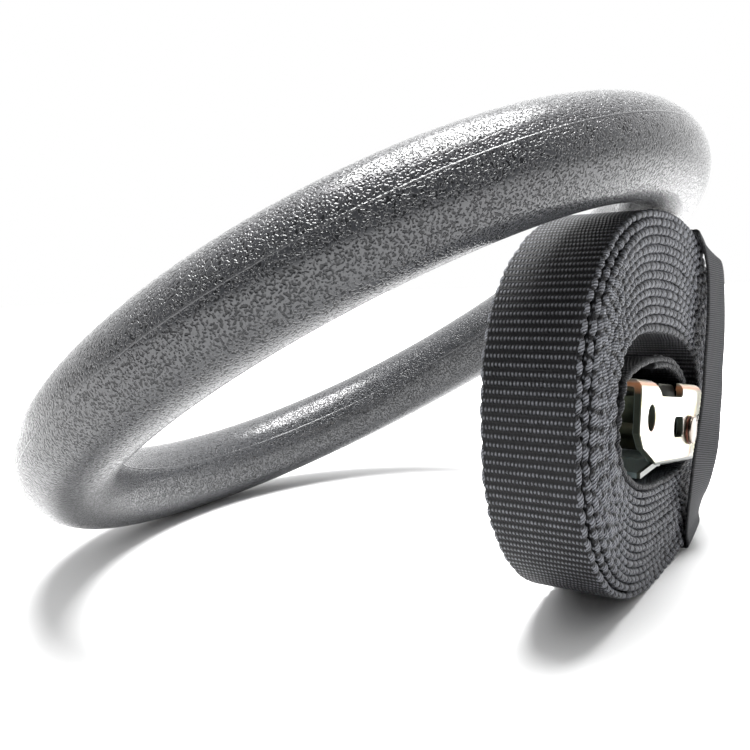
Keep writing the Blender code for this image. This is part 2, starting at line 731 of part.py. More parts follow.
def cam_lever(skin):
    """The cast cam and its thumb plate in one piece, bored for the axle."""
    hub = CAM_HUB_DIAMETER / 2
    teeth = []
    for index in range(2 * CAM_TOOTH_COUNT + 1):
        angle = CAM_NOSE_START + (CAM_NOSE_END - CAM_NOSE_START) * index / (2 * CAM_TOOTH_COUNT)
        radius = CAM_NOSE_RADIUS - CAM_TOOTH_DEPTH * (index % 2)
        teeth.append((radius * math.cos(angle), radius * math.sin(angle)))
    back = arc(hub, -28, 0, 3)
    top = LEVER_RISE
    under = top - LEVER_PLATE
    arm = [
        (LEVER_HEEL, under),
        (LEVER_HEEL - LEVER_EDGE / 2, top - 1.2 * LEVER_EDGE),
        (LEVER_HEEL - 2 * LEVER_EDGE, top - LEVER_EDGE / 4),
        (LEVER_HEEL - 3 * LEVER_EDGE, top),
    ]
    pitch = (LEVER_REACH - LEVER_SHOULDER - 2 * LEVER_EDGE) / LEVER_RIB_COUNT
    for index in range(LEVER_RIB_COUNT):
        start = -LEVER_SHOULDER - LEVER_EDGE - pitch * index
        arm += [
            (start, top),
            (start - pitch * 0.25, top - LEVER_RIB_HEIGHT),
            (start - pitch * 0.6, top - LEVER_RIB_HEIGHT),
            (start - pitch * 0.85, top),
        ]
    arm += [
        (-LEVER_REACH + 0.6 * LEVER_EDGE, top - LEVER_EDGE / 6),
        (-LEVER_REACH, top - LEVER_EDGE),
        (-LEVER_REACH + LEVER_EDGE / 3, top - 2.2 * LEVER_EDGE),
        (-LEVER_REACH + 1.7 * LEVER_EDGE, under),
        (-LEVER_SHOULDER - LEVER_PLATE / 2, under - LEVER_EDGE / 3),
        (-LEVER_SHOULDER + 0.7 * LEVER_PLATE, hub + LEVER_EDGE / 2),
    ]
    front = arc(hub, 168, 236, 4)
    mesh = plate_mesh("cam_lever", back + arm + front + teeth, -CAM_WIDTH / 2, CAM_WIDTH / 2)
    lever = add_object("cam_lever", mesh, PARTS, skin)
    lever.parent = BUCKLE_AXIS
    bpy.context.view_layer.update()
    cut(lever, "DIFFERENCE", pin_mesh("cam_bore", AXLE_DIAMETER + 2 * TOUCH_GAP, -CAM_WIDTH, CAM_WIDTH))
    smooth(lever)
    return lever


def turned_pin(name, profile, skin):
    """A pin along Y: a profile of (radius, distance), from one end to the other, turned about its axis."""
    mesh = bpy.data.meshes.new(name)
    mesh.from_pydata([(r, 0, z) for r, z in profile], [(i, i + 1) for i in range(len(profile) - 1)], [])
    pin = add_object(name, mesh, PARTS, skin)
    screw = pin.modifiers.new("turn", "SCREW")
    screw.steps = 24
    screw.render_steps = 24
    screw.use_merge_vertices = True
    screw.merge_threshold = 0.00001
    made = evaluated_copy(pin)
    made.transform(Matrix.Rotation(math.radians(90), 4, "X"))
    pin.modifiers.clear()
    pin.data = made
    pin.parent = BUCKLE_AXIS
    smooth(pin)
    return pin


def cam_axle(skin):
    """The rivet that the cam turns on, with a domed head outside each washer."""
    shank = AXLE_DIAMETER / 2
    head = AXLE_HEAD_DIAMETER / 2
    seat = FRAME_WIDTH / 2 + WASHER_THICKNESS + 2 * TOUCH_GAP
    crown = seat + AXLE_HEAD_HEIGHT
    half = [
        (0, crown),
        (head * 0.55, crown - AXLE_HEAD_HEIGHT * 0.15),
        (head * 0.85, crown - AXLE_HEAD_HEIGHT * 0.3),
        (head, crown - AXLE_HEAD_HEIGHT * 0.65),
        (head, seat),
        (shank, seat),
    ]
    return turned_pin("cam_axle", half + [(r, -z) for r, z in reversed(half)], skin)


def axle_washer(name, side, skin):
    """A washer between one ear and the head of the axle there."""
    inner = AXLE_DIAMETER / 2 + TOUCH_GAP
    near = FRAME_WIDTH / 2 + TOUCH_GAP
    outer = WASHER_DIAMETER / 2
    far = near + WASHER_THICKNESS
    corners = [(inner, near), (inner, far), (outer, far), (outer, near), (inner, near)]
    if side > 0:
        corners = [(r, -z) for r, z in reversed(corners)]
    return turned_pin(name, corners, skin)


def loop_bar(skin):
    """The bar that the sewn loop turns round, ending flush in the ears."""
    end = FRAME_WIDTH / 2
    pin = pin_mesh("loop_bar", LOOP_BAR_DIAMETER, -end, end, LOOP_BAR_PLACE)
    bar = add_object("loop_bar", pin, PARTS, skin)
    bar.parent = BUCKLE_AXIS
    smooth(bar)
    return bar


def cam_spring(skin):
    """The torsion spring on the axle: one leg stands on the base, the other hooks under the lever."""
    radius = AXLE_DIAMETER / 2 + 2 * TOUCH_GAP + SPRING_WIRE / 2
    first, last = math.radians(-45), math.radians(86 + 360 * SPRING_TURNS)
    near = -FRAME_INSIDE + TOUCH_GAP + SPRING_WIRE / 2
    far = -CAM_WIDTH / 2 - TOUCH_GAP - SPRING_WIRE / 2
    count = round(10 * (last - first) / (2 * math.pi))
    coil = []
    for share in np.linspace(0, 1, count + 1):
        angle = first + (last - first) * share
        coil.append((radius * math.cos(angle), near + (far - near) * share, radius * math.sin(angle)))
    foot_z = FRAME_FOOT + FRAME_PLATE + TOUCH_GAP + SPRING_WIRE / 2
    drop = coil[0][2] - foot_z
    foot = (coil[0][0] - drop, near, foot_z)
    tip = Vector(coil[-1]) + SPRING_HOOK_REACH * Vector((-math.sin(last), 0, math.cos(last)))
    hook = tip + Vector((0, SPRING_HOOK_LENGTH, 0))
    return tube_object("cam_spring", [foot, *coil, tip, hook], SPRING_WIRE, skin)


def closed_route(points, pieces=4):
    """A smooth closed row through points, with that many pieces to each stretch."""
    knots = np.array(points)
    before, after, beyond = (np.roll(knots, shift, axis=0) for shift in (1, -1, -2))
    row = []
    for a, b, c, d in zip(before, knots, after, beyond):
        for u in np.arange(pieces) / pieces:
            row.append(spline_point(a, b, c, d, u))
    return row


def keeper_band(skin):
    """The elastic tape round the roll, which slants across the open face and over the end of one ear.

    A row holds the tape's left edge, its middle and its right edge, as x from the roll's middle, y from
    its middle plane and z.
    """
    near = STRAP_WIDTH / 2
    face = near + KEEPER_REST
    to_ear = (FRAME_WIDTH - STRAP_WIDTH) / 2
    half = [(near / 3, 0), (near - 2 * KEEPER_REST, 0), (near, 0)]
    half += [(near + 0.85 * KEEPER_REST, 0.4 * KEEPER_REST), (face, 2 * KEEPER_REST)]
    run = [(-y, fold) for y, fold in reversed(half)] + half
    across = []
    for side, reach in ((1, KEEPER_TOP_SHARE), (-1, KEEPER_FOOT_SHARE)):
        seat = keeper_seat(keeper_x(reach), side)
        across.append([[(x, -side * y, z - side * fold) for x, z in seat] for y, fold in run])
    front = []
    for reach, out, height, tilt, slant in KEEPER_FACE_SHARES:
        left = Vector((keeper_x(reach), -face - out * to_ear, height * ROLL_HEIGHT))
        tilt, slant = math.radians(tilt), math.radians(slant)
        flat = math.cos(tilt)
        width = KEEPER_WIDTH * Vector((flat * math.cos(slant), -math.sin(tilt), -flat * math.sin(slant)))
        front.append([left, left + width / 2, left + width])
    back = [[(x, -y, z) for x, y, z in row] for row in reversed(front)]
    columns = []
    for column in zip(*across[0], *front, *across[1], *back):
        columns.append([(ROLL_OFFSET + x, ROLL_Y + y, z) for x, y, z in closed_route(column)])
    band = add_object("keeper_band", strip_mesh("keeper_band", columns, closed=True), PARTS, skin)
    wall = band.modifiers.new("thickness", "SOLIDIFY")
    wall.thickness = KEEPER_THICKNESS
    wall.offset = 0
    smooth(band, 50)
    return band


clear_scene()
PARTS = collection("gymnastic_ring")
CUTTERS = collection("cutters")
CUTTERS.hide_render = True

RING_AXIS = bpy.data.objects.new("ring_axis", None)
RING_AXIS.location = (0, 0, RING_CENTRE_Z)
RING_AXIS.rotation_euler = (-RING_LEAN, 0, 0)
PARTS.objects.link(RING_AXIS)

AXLE_X, AXLE_Z = from_buckle([(0, 0)])[0]
BUCKLE_AXIS = bpy.data.objects.new("buckle_axis", None)
BUCKLE_AXIS.location = (ROLL_OFFSET + AXLE_X, ROLL_Y, ROLL_CENTRE_Z + AXLE_Z)
BUCKLE_AXIS.rotation_euler = (0, BUCKLE_TILT, 0)
PARTS.objects.link(BUCKLE_AXIS)
bpy.context.view_layer.update()

ABS = material("moulded_abs", (0.045, 0.046, 0.048), 0.42)
WEBBING = material("black_webbing", (0.022, 0.023, 0.027), 0.85)
THREAD = material("bonded_thread", (0.03, 0.03, 0.033), 0.7)
ZINC = material("zinc_plated_steel", (0.78, 0.77, 0.72), 0.3, 1.0)
CAST = material("cast_zinc", (0.5, 0.49, 0.42), 0.4, 1.0)
SPRING_STEEL = material("spring_steel", (0.4, 0.39, 0.37), 0.35, 1.0)
ELASTIC = material("elastic_tape", (0.07, 0.07, 0.075), 0.8)

half_shell("ring_lower_shell", lower_profile(), -1, ABS)
half_shell("ring_upper_shell", upper_profile(), 1, ABS)
strap_webbing(WEBBING)
loop_stitching(THREAD)
buckle_frame(ZINC)
cam_lever(CAST)
cam_axle(ZINC)
axle_washer("axle_washer_front", -1, ZINC)
axle_washer("axle_washer_back", 1, ZINC)
loop_bar(ZINC)
cam_spring(SPRING_STEEL)
keeper_band(ELASTIC)

STRAP_GAP = least_gap(STRAP_ROUTE, STRAP_THICKNESS)
print(f"strap length {STRAP_LENGTH:.3f} m, least gap to itself {STRAP_GAP * 1000:.2f} mm")
LEAN = math.degrees(RING_LEAN)
print(f"ring lean {LEAN:.2f} degrees, roll y {ROLL_Y:.4f}, roll centre z {ROLL_CENTRE_Z:.4f}")
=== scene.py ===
"""Looks of a gymnastic ring that leans on its own rolled webbing strap.

The ring is two half shells of grained ABS. The strap is black polyester webbing, wound round its own
cam buckle into an oval roll, and a ribbed elastic tape keeps the roll shut.
"""

import math

import bmesh
import bpy
import numpy as np
from mathutils import Matrix, Vector


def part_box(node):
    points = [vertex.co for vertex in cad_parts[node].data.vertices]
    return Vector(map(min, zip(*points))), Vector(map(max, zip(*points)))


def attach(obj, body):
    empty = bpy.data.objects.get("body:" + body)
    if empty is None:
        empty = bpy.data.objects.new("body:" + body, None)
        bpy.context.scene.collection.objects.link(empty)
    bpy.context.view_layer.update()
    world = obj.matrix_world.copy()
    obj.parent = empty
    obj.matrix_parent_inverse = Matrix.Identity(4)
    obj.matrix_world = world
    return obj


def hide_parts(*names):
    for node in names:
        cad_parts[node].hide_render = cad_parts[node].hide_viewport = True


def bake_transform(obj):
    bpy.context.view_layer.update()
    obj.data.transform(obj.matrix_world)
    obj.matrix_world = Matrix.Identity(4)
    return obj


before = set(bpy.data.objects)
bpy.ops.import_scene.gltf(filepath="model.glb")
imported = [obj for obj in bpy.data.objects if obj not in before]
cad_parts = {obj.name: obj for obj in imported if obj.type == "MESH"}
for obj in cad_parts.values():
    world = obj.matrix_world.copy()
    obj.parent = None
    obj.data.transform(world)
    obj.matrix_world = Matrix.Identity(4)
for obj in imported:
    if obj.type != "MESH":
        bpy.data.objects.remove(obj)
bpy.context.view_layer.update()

# The view is the photograph's: low over the ground, close to the roll's left end, so that the open face
# with the buckle is seen at a grazing angle and the ring crosses the top of the picture.
CAMERA_PLACE = Vector((-0.23066, -0.15800, 0.09043))
CAMERA_RIGHT = Vector((0.5620, -0.8263, -0.0381))
CAMERA_UP = Vector((0.1219, 0.0372, 0.9918))
FOCAL_PIXELS = 840.6
PICTURE_PIXELS = 750

lens = bpy.data.cameras.new("picture")
lens.sensor_width = 36.0
lens.lens = lens.sensor_width * FOCAL_PIXELS / PICTURE_PIXELS
lens.clip_start = 0.01
picture = bpy.data.objects.new("picture", lens)
bpy.context.scene.collection.objects.link(picture)
turn = Matrix((CAMERA_RIGHT, CAMERA_UP, CAMERA_RIGHT.cross(CAMERA_UP))).transposed()
picture.matrix_world = Matrix.Translation(CAMERA_PLACE) @ turn.to_4x4()
bpy.context.scene.camera = picture
bpy.context.scene.view_settings.view_transform = "Standard"

# The ring is moulded in black ABS as two half shells that are welded on the tube's middle plane. The tool's
# etched grain leaves worm-like wrinkles all over it, and the weld stands out as a fine smooth line.
RING_OUTER_DIAMETER = 0.235
RING_TUBE_DIAMETER = 0.0275
RING_WALL = 0.003
RING_SEAM = 0.00002
RING_LIP = 0.00005
RING_COLOUR = "#303134"
RING_WORN_COLOUR = "#3a3b3e"
RING_CREASE_SHADE_COLOUR = "#1e1f21"
GRAIN_SPACING = 0.0012
GRAIN_DEPTH = 0.00019
GRAIN_LOW = 0.33
GRAIN_HIGH = 0.55
WELD_WIDTH = 0.0004
WELD_HEIGHT = 1.6
BLOTCH_SIZE = 0.0357
RING_STEPS = 720
RING_ROUGHNESS = 0.22

tube_radius = RING_TUBE_DIAMETER / 2
ring_radius = (RING_OUTER_DIAMETER - RING_TUBE_DIAMETER) / 2
ring_centre_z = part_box("ring_upper_shell")[1][2] / 2
ring_lean = math.asin((ring_centre_z - tube_radius) / ring_radius)


def linear(code):
    """An sRGB hex colour as linear red, green, blue and 1."""
    parts = [int(code[at : at + 2], 16) / 255 for at in (1, 3, 5)]
    return (*[part / 12.92 if part <= 0.04045 else ((part + 0.055) / 1.055) ** 2.4 for part in parts], 1.0)


def add(skin, kind, settings=None, feeds=None):
    """Adds a node with its settings, and feeds its inputs from nodes, sockets or plain values."""
    made = skin.node_tree.nodes.new("ShaderNode" + kind)
    for key, value in (settings or {}).items():
        setattr(made, key, value)
    for key, value in (feeds or {}).items():
        if isinstance(value, (bpy.types.Node, bpy.types.NodeSocket)):
            wire(skin, value, made.inputs[key])
        else:
            made.inputs[key].default_value = value
    return made


def new_skin(name):
    """An empty material and its Principled shader, already wired to the output."""
    skin = bpy.data.materials.new(name)
    skin.use_nodes = True
    return skin, skin.node_tree.nodes["Principled BSDF"]


def wire(skin, source, target):
    """Joins a socket, or a node's first output, to an input."""
    source = source.outputs[0] if isinstance(source, bpy.types.Node) else source
    skin.node_tree.links.new(source, target)


def cell_corners(table, axis):
    """The four corners of each cell of a table, one after the other round the cell, on a new axis."""
    return np.stack([table[:-1, :-1], table[1:, :-1], table[1:, 1:], table[:-1, 1:]], axis=axis)


def grid_piece(name, grid, skin, around=True, along=False, uv=None, caps=False, flip=False):
    """An object whose quads join each point of a (rows, columns, 3) grid to its next row and column.

    Columns close on themselves where around is set, rows where along is, and caps fill the two end rows.
    uv holds one pair for each corner of the grid, with the closing row or column repeated.
    """
    rows, columns = grid.shape[:2]
    index = np.arange(rows * columns).reshape(rows, columns)
    if around:
        index = np.concatenate([index, index[:, :1]], axis=1)
    if along:
        index = np.concatenate([index, index[:1]], axis=0)
    faces = cell_corners(index, -1).reshape(-1, 4).tolist()
    if caps:
        faces += [index[0, :columns].tolist(), index[-1, columns - 1 :: -1].tolist()]
    mesh = bpy.data.meshes.new(name)
    mesh.from_pydata(grid.reshape(-1, 3), [], faces)
    if uv is not None:
        corners = cell_corners(uv, -2).reshape(-1, 2)
        values = np.zeros((len(mesh.loops), 2))
        values[: len(corners)] = corners
        mesh.uv_layers.new(name="flat").data.foreach_set("uv", values.ravel())
    if flip:
        mesh.flip_normals()
    mesh.shade_smooth()
    mesh.materials.append(skin)
    piece = bpy.data.objects.new(name, mesh)
    bpy.context.scene.collection.objects.link(piece)
    return piece


def half_wall(side):
    """Closed outline of half the tube's wall, as distance out from the tube's middle and height.

    It is an arc outside, a quarter round at each rim, and a smaller arc inside.
    """
    rise = RING_SEAM / 2 + RING_LIP
    first = math.asin(rise / tube_radius)
    inner = tube_radius - RING_WALL
    low = math.asin(RING_SEAM / 2 / inner)
    out = np.linspace(first, math.pi - first, 57)
    back = np.linspace(math.pi - low, low, 21)
    bend = np.linspace(0, math.pi / 2, 5)[1:]
    reach = math.sqrt((tube_radius - RING_LIP) ** 2 - rise**2)
    left = np.stack([-reach - RING_LIP * np.cos(bend), rise - RING_LIP * np.sin(bend)], axis=-1)
    right = (left * (-1, 1))[::-1]
    outer = tube_radius * np.stack([np.cos(out), np.sin(out)], axis=-1)
    inside = inner * np.stack([np.cos(back), np.sin(back)], axis=-1)
    return np.concatenate([outer, left, inside, right]) * (1, side)


def ring_skin():
    """Black ABS from an etched tool: glossy worm-like ridges, with the narrower creases between them
    painted dark as shade.

    The height is a noise, shifted about by a coarser one and made steep from GRAIN_LOW to GRAIN_HIGH. It
    gives way smoothly to WELD_HEIGHT from WELD_WIDTH off the ring's middle plane to the plane itself.
    """
    skin, shader = new_skin("moulded_abs_wrinkle_grain")
    start = add(skin, "TexCoord").outputs["Object"]
    warp = add(skin, "TexNoise", None, {"Vector": start, "Scale": 1 / GRAIN_SPACING, "Detail": 1.0})
    around_half = {0: warp.outputs["Color"], 1: (0.5, 0.5, 0.5)}
    spread = add(skin, "VectorMath", {"operation": "SUBTRACT"}, around_half)
    shift = add(skin, "VectorMath", {"operation": "SCALE"}, {0: spread, "Scale": 0.6 * GRAIN_SPACING})
    moved = add(skin, "VectorMath", {"operation": "ADD"}, {0: start, 1: shift})
    worms = add(skin, "TexNoise", None, {"Vector": moved, "Scale": 2 / GRAIN_SPACING, "Detail": 0.5})
    steep = {"Value": worms, "From Min": GRAIN_LOW, "From Max": GRAIN_HIGH}
    ridge = add(skin, "MapRange", {"interpolation_type": "SMOOTHSTEP"}, steep)
    centred = add(skin, "VectorMath", {"operation": "SUBTRACT"}, {0: start, 1: (0, 0, ring_centre_z)})
    across = (0, math.sin(ring_lean), math.cos(ring_lean))
    off_plane = add(skin, "VectorMath", {"operation": "DOT_PRODUCT"}, {0: centred, 1: across})
    off_weld = add(skin, "Math", {"operation": "ABSOLUTE"}, {0: off_plane.outputs["Value"]})
    near = {"Value": off_weld, "From Max": WELD_WIDTH, "To Min": 1.0, "To Max": 0.0}
    weld = add(skin, "MapRange", {"interpolation_type": "SMOOTHSTEP"}, near)
    height = add(skin, "Mix", None, {0: weld, 2: ridge, 3: WELD_HEIGHT})
    bump = add(skin, "Bump", None, {"Height": height, "Strength": 1.0, "Distance": GRAIN_DEPTH})
    blotch = add(skin, "TexNoise", None, {"Vector": start, "Scale": 1 / BLOTCH_SIZE, "Detail": 3.0})
    worn = linear(RING_WORN_COLOUR)
    top = add(skin, "Mix", {"data_type": "RGBA"}, {0: blotch, 6: linear(RING_COLOUR), 7: worn})
    # Painted shade: the creases get a darker colour and a weaker specular than the ridges, for the shade
    # that falls in them.
    crease_shade = linear(RING_CREASE_SHADE_COLOUR)
    tone = add(skin, "Mix", {"data_type": "RGBA"}, {0: height, 6: crease_shade, 7: top.outputs[2]})
    wire(skin, tone.outputs[2], shader.inputs["Base Color"])
    crease_shade_specular = add(skin, "MapRange", None, {"Value": height, "To Min": 0.3, "To Max": 0.68})
    wire(skin, crease_shade_specular, shader.inputs["Specular IOR Level"])
    shader.inputs["Roughness"].default_value = RING_ROUGHNESS
    wire(skin, bump, shader.inputs["Normal"])
    return skin


abs_grain = ring_skin()
for node, side in (("ring_upper_shell", 1), ("ring_lower_shell", -1)):
    wall = half_wall(side)
    angle = np.linspace(0, 2 * math.pi, RING_STEPS, endpoint=False)[:, None]
    reach = ring_radius + wall[None, :, 0]
    level = np.broadcast_to(wall[:, 1], (RING_STEPS, len(wall)))
    flat = np.stack([reach * np.cos(angle), reach * np.sin(angle), level], axis=-1)
    c, s = math.cos(ring_lean), math.sin(ring_lean)
    tilt = np.array([[1, 0, 0], [0, c, s], [0, -s, c]])
    placed = flat @ tilt.T + (0, 0, ring_centre_z)
    shell = grid_piece(f"{node}_grained", placed, abs_grain, along=True, flip=side < 0)
    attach(shell, "ring")
    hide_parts(node)

# The strap is 25 mm black polyester webbing, plain woven, with a weft rib every 2 mm. The weft turns back
# at each edge, which leaves a bead there for every second rib. It is sewn round the buckle's bar, arches
# over the buckle and is wound in an oval from there, with its outer turns stepped back at the left.
STRAP_WIDTH = 0.025
WEB_THICKNESS = 0.00164
RIB_PITCH = 0.00205
RIB_DEPTH = 0.34
WARP_COUNT = 27
RIB_SAMPLES = 8
BEAD_DEPTH = 0.0006
BEAD_SWELL = 0.4
BEAD_SWAY = 0.0001
BEAD_SHIFTS = ((1.3, 0.0131), (2.1, 0.0373), (0.5, 0.0047))
EDGE_WAVES = ((0.00022, 0.047, 0), (0.00016, 0.019, 2), (0.00014, 0.007, 4), (0.00010, 0.0021, 1))
TURN_STEP = 0.0038
STEPPED_TURNS = 2.72
OUTERMOST_TURN = 1.12
THICKER_OVER = 0.42
THICKER_UNDER = 0.14
THICKER_FROM = 0.15
THICKER_TO = 0.25
CORE_SHADE_FROM = 0.22
CORE_SHADE_TO = 0.42
FLOOR_GAP = 0.00002
FILAMENT_PITCH = 0.0009
FILAMENT_SLANT = 0.9
WEAVE_RELIEF = 0.00045
FIBRE_SIZE = 0.0003846
RUBBED_PATCH_SIZE = 0.00238
WEB_COLOUR = "#0b0b0e"
WEB_LIGHT_COLOUR = "#7e8086"
ROLL_LENGTH = 0.138
ROLL_HEIGHT = 0.108
ROLL_SQUARENESS = 2.35
CORE_LENGTH = 0.085
CORE_HEIGHT = 0.0406
CORE_SQUARENESS = 2.5
CORE_TILT = math.radians(7)
CORE_PLACE = (-0.0015, -0.0035)
ROLL_TURNS = 14.5
ROLL_START = math.radians(187.5)
ROLL_EASE = 0.0008
ROLL_MIDDLE_X = 0.0089
SLACK = 0.30
SLACK_FROM = 0.3
SLACK_FULL = 1.9
SLACK_FADE = 4
WEB_CAD_THICKNESS = 0.0011
BUCKLE_TILT = math.radians(9)
BUCKLE_PLACE = (0.0153, -0.0123)
BUCKLE_TOP = 0.0137
BUCKLE_ENTRY = 0.0475
BAR_PLACE = (0.0118, 0.0025)
BAR_DIAMETER = 0.004
METAL_GAP = 0.0003
LAYER_GAP = 0.0005
SEWN_TAIL_REACH = 0.0255
SEWN_TAIL_OVER_BAR = 0.0072
ARCH_RISE = 0.0065
ARCH_FROM_BAR = [(0.0021, 0.0058), (-0.0002, 0.0092), (-0.0036, 0.0124)]
ARCH_FROM_PEAK = [(-0.0086, -0.0026), (-0.0144, -0.0008), (-0.0224, 0.0), (-0.0324, -0.0005)]
ARCH_OVER_ENTRY = [(0.0160, 0.0040), (0.0050, 0.0019)]
ARCH_TO_FIRST_TURN = [(-0.0040, 0.0140), (-0.0085, 0.0100)]

roll_low, roll_high = (np.array(corner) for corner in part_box("strap_webbing"))
roll_y = float(roll_low[1] + roll_high[1]) / 2
axle_low, axle_high = (np.array(corner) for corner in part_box("cam_axle"))
axle_place = (axle_low + axle_high) / 2
roll_z = float(axle_place[2]) - BUCKLE_PLACE[1]


def oval(half_length, half_height, squareness, angle):
    """Points of a superellipse: cosine and sine to the power 2 over the squareness, each with its sign."""
    c, s = np.cos(angle), np.sin(angle)
    x = half_length * np.sign(c) * np.abs(c) ** (2 / squareness)
    z = half_height * np.sign(s) * np.abs(s) ** (2 / squareness)
    return np.stack([x, z], axis=-1)


def turned(points, angle):
    """Points in x and z turned clockwise as seen from the open face."""
    c, s = math.cos(angle), math.sin(angle)
    return np.asarray(points, float) @ np.array([[c, -s], [s, c]])


def through(points, pieces=12, closed=False):
    """A smooth line through points: a cubic for each pair, sloped at its ends as the neighbours lie."""
    knots = np.array(points, float)
    if closed:
        ends = np.concatenate([knots[-1:], knots, knots[:2]])
    else:
        ends = np.concatenate([2 * knots[:1] - knots[1:2], knots, 2 * knots[-1:] - knots[-2:-1]])
    a, b, c, d = (ends[None, at : len(ends) - 3 + at] for at in range(4))
    u = (np.arange(pieces) / pieces)[:, None, None]
    curved = (2 * a - 5 * b + 4 * c - d) * u**2
    line = 0.5 * (2 * b + (c - a) * u + curved + (3 * b - 3 * c + d - a) * u**3)
    line = line.transpose(1, 0, 2).reshape(-1, knots.shape[1])
    return line if closed else np.concatenate([line, knots[-1:]])


def evenly(line, spacing):
    """Points at an even spacing along a line, and the distance along it of each."""
    along = np.concatenate([[0], np.cumsum(np.linalg.norm(np.diff(line, axis=0), axis=1))])
    count = int(along[-1] / spacing)
    at = np.linspace(0, along[-1], count + 1)
    return np.stack([np.interp(at, along, line[:, k]) for k in range(line.shape[1])], axis=-1), at


def wound_turns():
    """The middle of the webbing in the roll: at each angle it lies part of the way from core to rim.

    The part grows steadily with the angle. At the left end the last turns hang loose: the part falls short
    there from SLACK_FROM turns before the end, most at SLACK_FULL, and less again by a decaying power.
    """
    share = np.linspace(0, 1, int(ROLL_TURNS * 180))[:, None]
    angle = ROLL_START + share[:, 0] * ROLL_TURNS * 2 * math.pi
    half = WEB_CAD_THICKNESS / 2
    core = oval(CORE_LENGTH / 2 + half, CORE_HEIGHT / 2 + half, CORE_SQUARENESS, angle + CORE_TILT)
    core = turned(core, CORE_TILT) + np.array(CORE_PLACE)
    rim_sizes = np.array([ROLL_LENGTH, ROLL_HEIGHT]) / 2 - half - ROLL_EASE
    rim = oval(*rim_sizes, ROLL_SQUARENESS, angle)
    turns_left = (1 - share) * ROLL_TURNS
    at_left = np.clip(-np.cos(angle), 0, 1)[:, None] ** 1.5
    hang = np.clip(turns_left, SLACK_FROM, SLACK_FULL) - SLACK_FROM
    slack = -SLACK * at_left * hang * np.exp(-np.clip(turns_left - SLACK_FULL, 0, None) / SLACK_FADE)
    return core + (share + slack / ROLL_TURNS) * (rim - core)


def sewn_loop():
    """The doubled end in the buckle's frame: the tail under the arch, the turn round the bar, the arch."""
    bar = np.array(BAR_PLACE)
    wrap = BAR_DIAMETER / 2 + METAL_GAP + WEB_CAD_THICKNESS / 2
    layers = WEB_CAD_THICKNESS + LAYER_GAP
    peak = np.array([bar[0], BUCKLE_TOP + ARCH_RISE])
    entry = np.array([-BUCKLE_ENTRY, BUCKLE_TOP + METAL_GAP + WEB_CAD_THICKNESS / 2])
    leave = bar + (wrap, wrap - BAR_DIAMETER / 8)
    over = [bar + ARCH_FROM_BAR, peak + ARCH_FROM_PEAK, entry + ARCH_OVER_ENTRY]
    arch = through(np.vstack([[leave], *over]))
    run = np.gradient(arch, axis=0)
    run /= np.linalg.norm(run, axis=1)[:, None]
    under = (arch + layers * np.stack([-run[:, 1], run[:, 0]], axis=1))[::-1]
    tail = under[(under[:, 1] > bar[1] + SEWN_TAIL_OVER_BAR) & (under[:, 0] > -SEWN_TAIL_REACH)]
    neck = bar + [(-0.7 * wrap, 1.8 * wrap), (-wrap, 0.77 * wrap)]
    around = np.radians(np.linspace(180, 360, 25))
    bend = bar + wrap * np.stack([np.cos(around), np.sin(around)], axis=1)
    return np.concatenate([tail, neck, bend, arch])


def web_line():
    """The middle of the whole webbing in x and z, in even steps, eased by a weighted running mean of 13.

    A bridge joins the arch to the first turn; its own end stretches lie on these two and are left out.
    """
    loop = turned(sewn_loop(), BUCKLE_TILT) + np.array(BUCKLE_PLACE)
    wound = wound_turns()
    lead = turned(np.array([-BUCKLE_ENTRY, 0]) + ARCH_TO_FIRST_TURN, BUCKLE_TILT) + np.array(BUCKLE_PLACE)
    pieces = 12
    bridge = through([loop[-14], loop[-1], *lead, wound[0], wound[14]], pieces)
    line = np.concatenate([loop[:-1], bridge[pieces : -pieces - 1], wound])
    line, _ = evenly(line, RIB_PITCH / RIB_SAMPLES)
    reach = 6
    kernel = np.hanning(2 * reach + 3)[1:-1]
    kernel /= kernel.sum()
    padded = np.concatenate([np.repeat(line[:1], reach, axis=0), line, np.repeat(line[-1:], reach, axis=0)])
    return np.stack([np.convolve(padded[:, k], kernel, "valid") for k in range(2)], axis=-1)


def web_section():
    """Outline of the webbing, across and through it: two faces joined by half rounds.

    Returned with it: how far each point is edge, which is the cosine on a round and 0 on a face.
    """
    round_radius = WEB_THICKNESS / 2
    flat = STRAP_WIDTH / 2 - BEAD_DEPTH - round_radius
    face = np.linspace(1, -1, 6)[1:-1] * flat
    bend = np.linspace(math.pi / 2, -math.pi / 2, 7)
    right = np.stack([flat + round_radius * np.cos(bend), round_radius * np.sin(bend)], axis=-1)
    below = np.stack([face, np.full(len(face), -round_radius)], axis=-1)
    outline = np.concatenate([right, below, -right, -below])
    edge = np.concatenate([np.cos(bend), 0 * face, np.cos(bend), 0 * face])
    return outline, edge


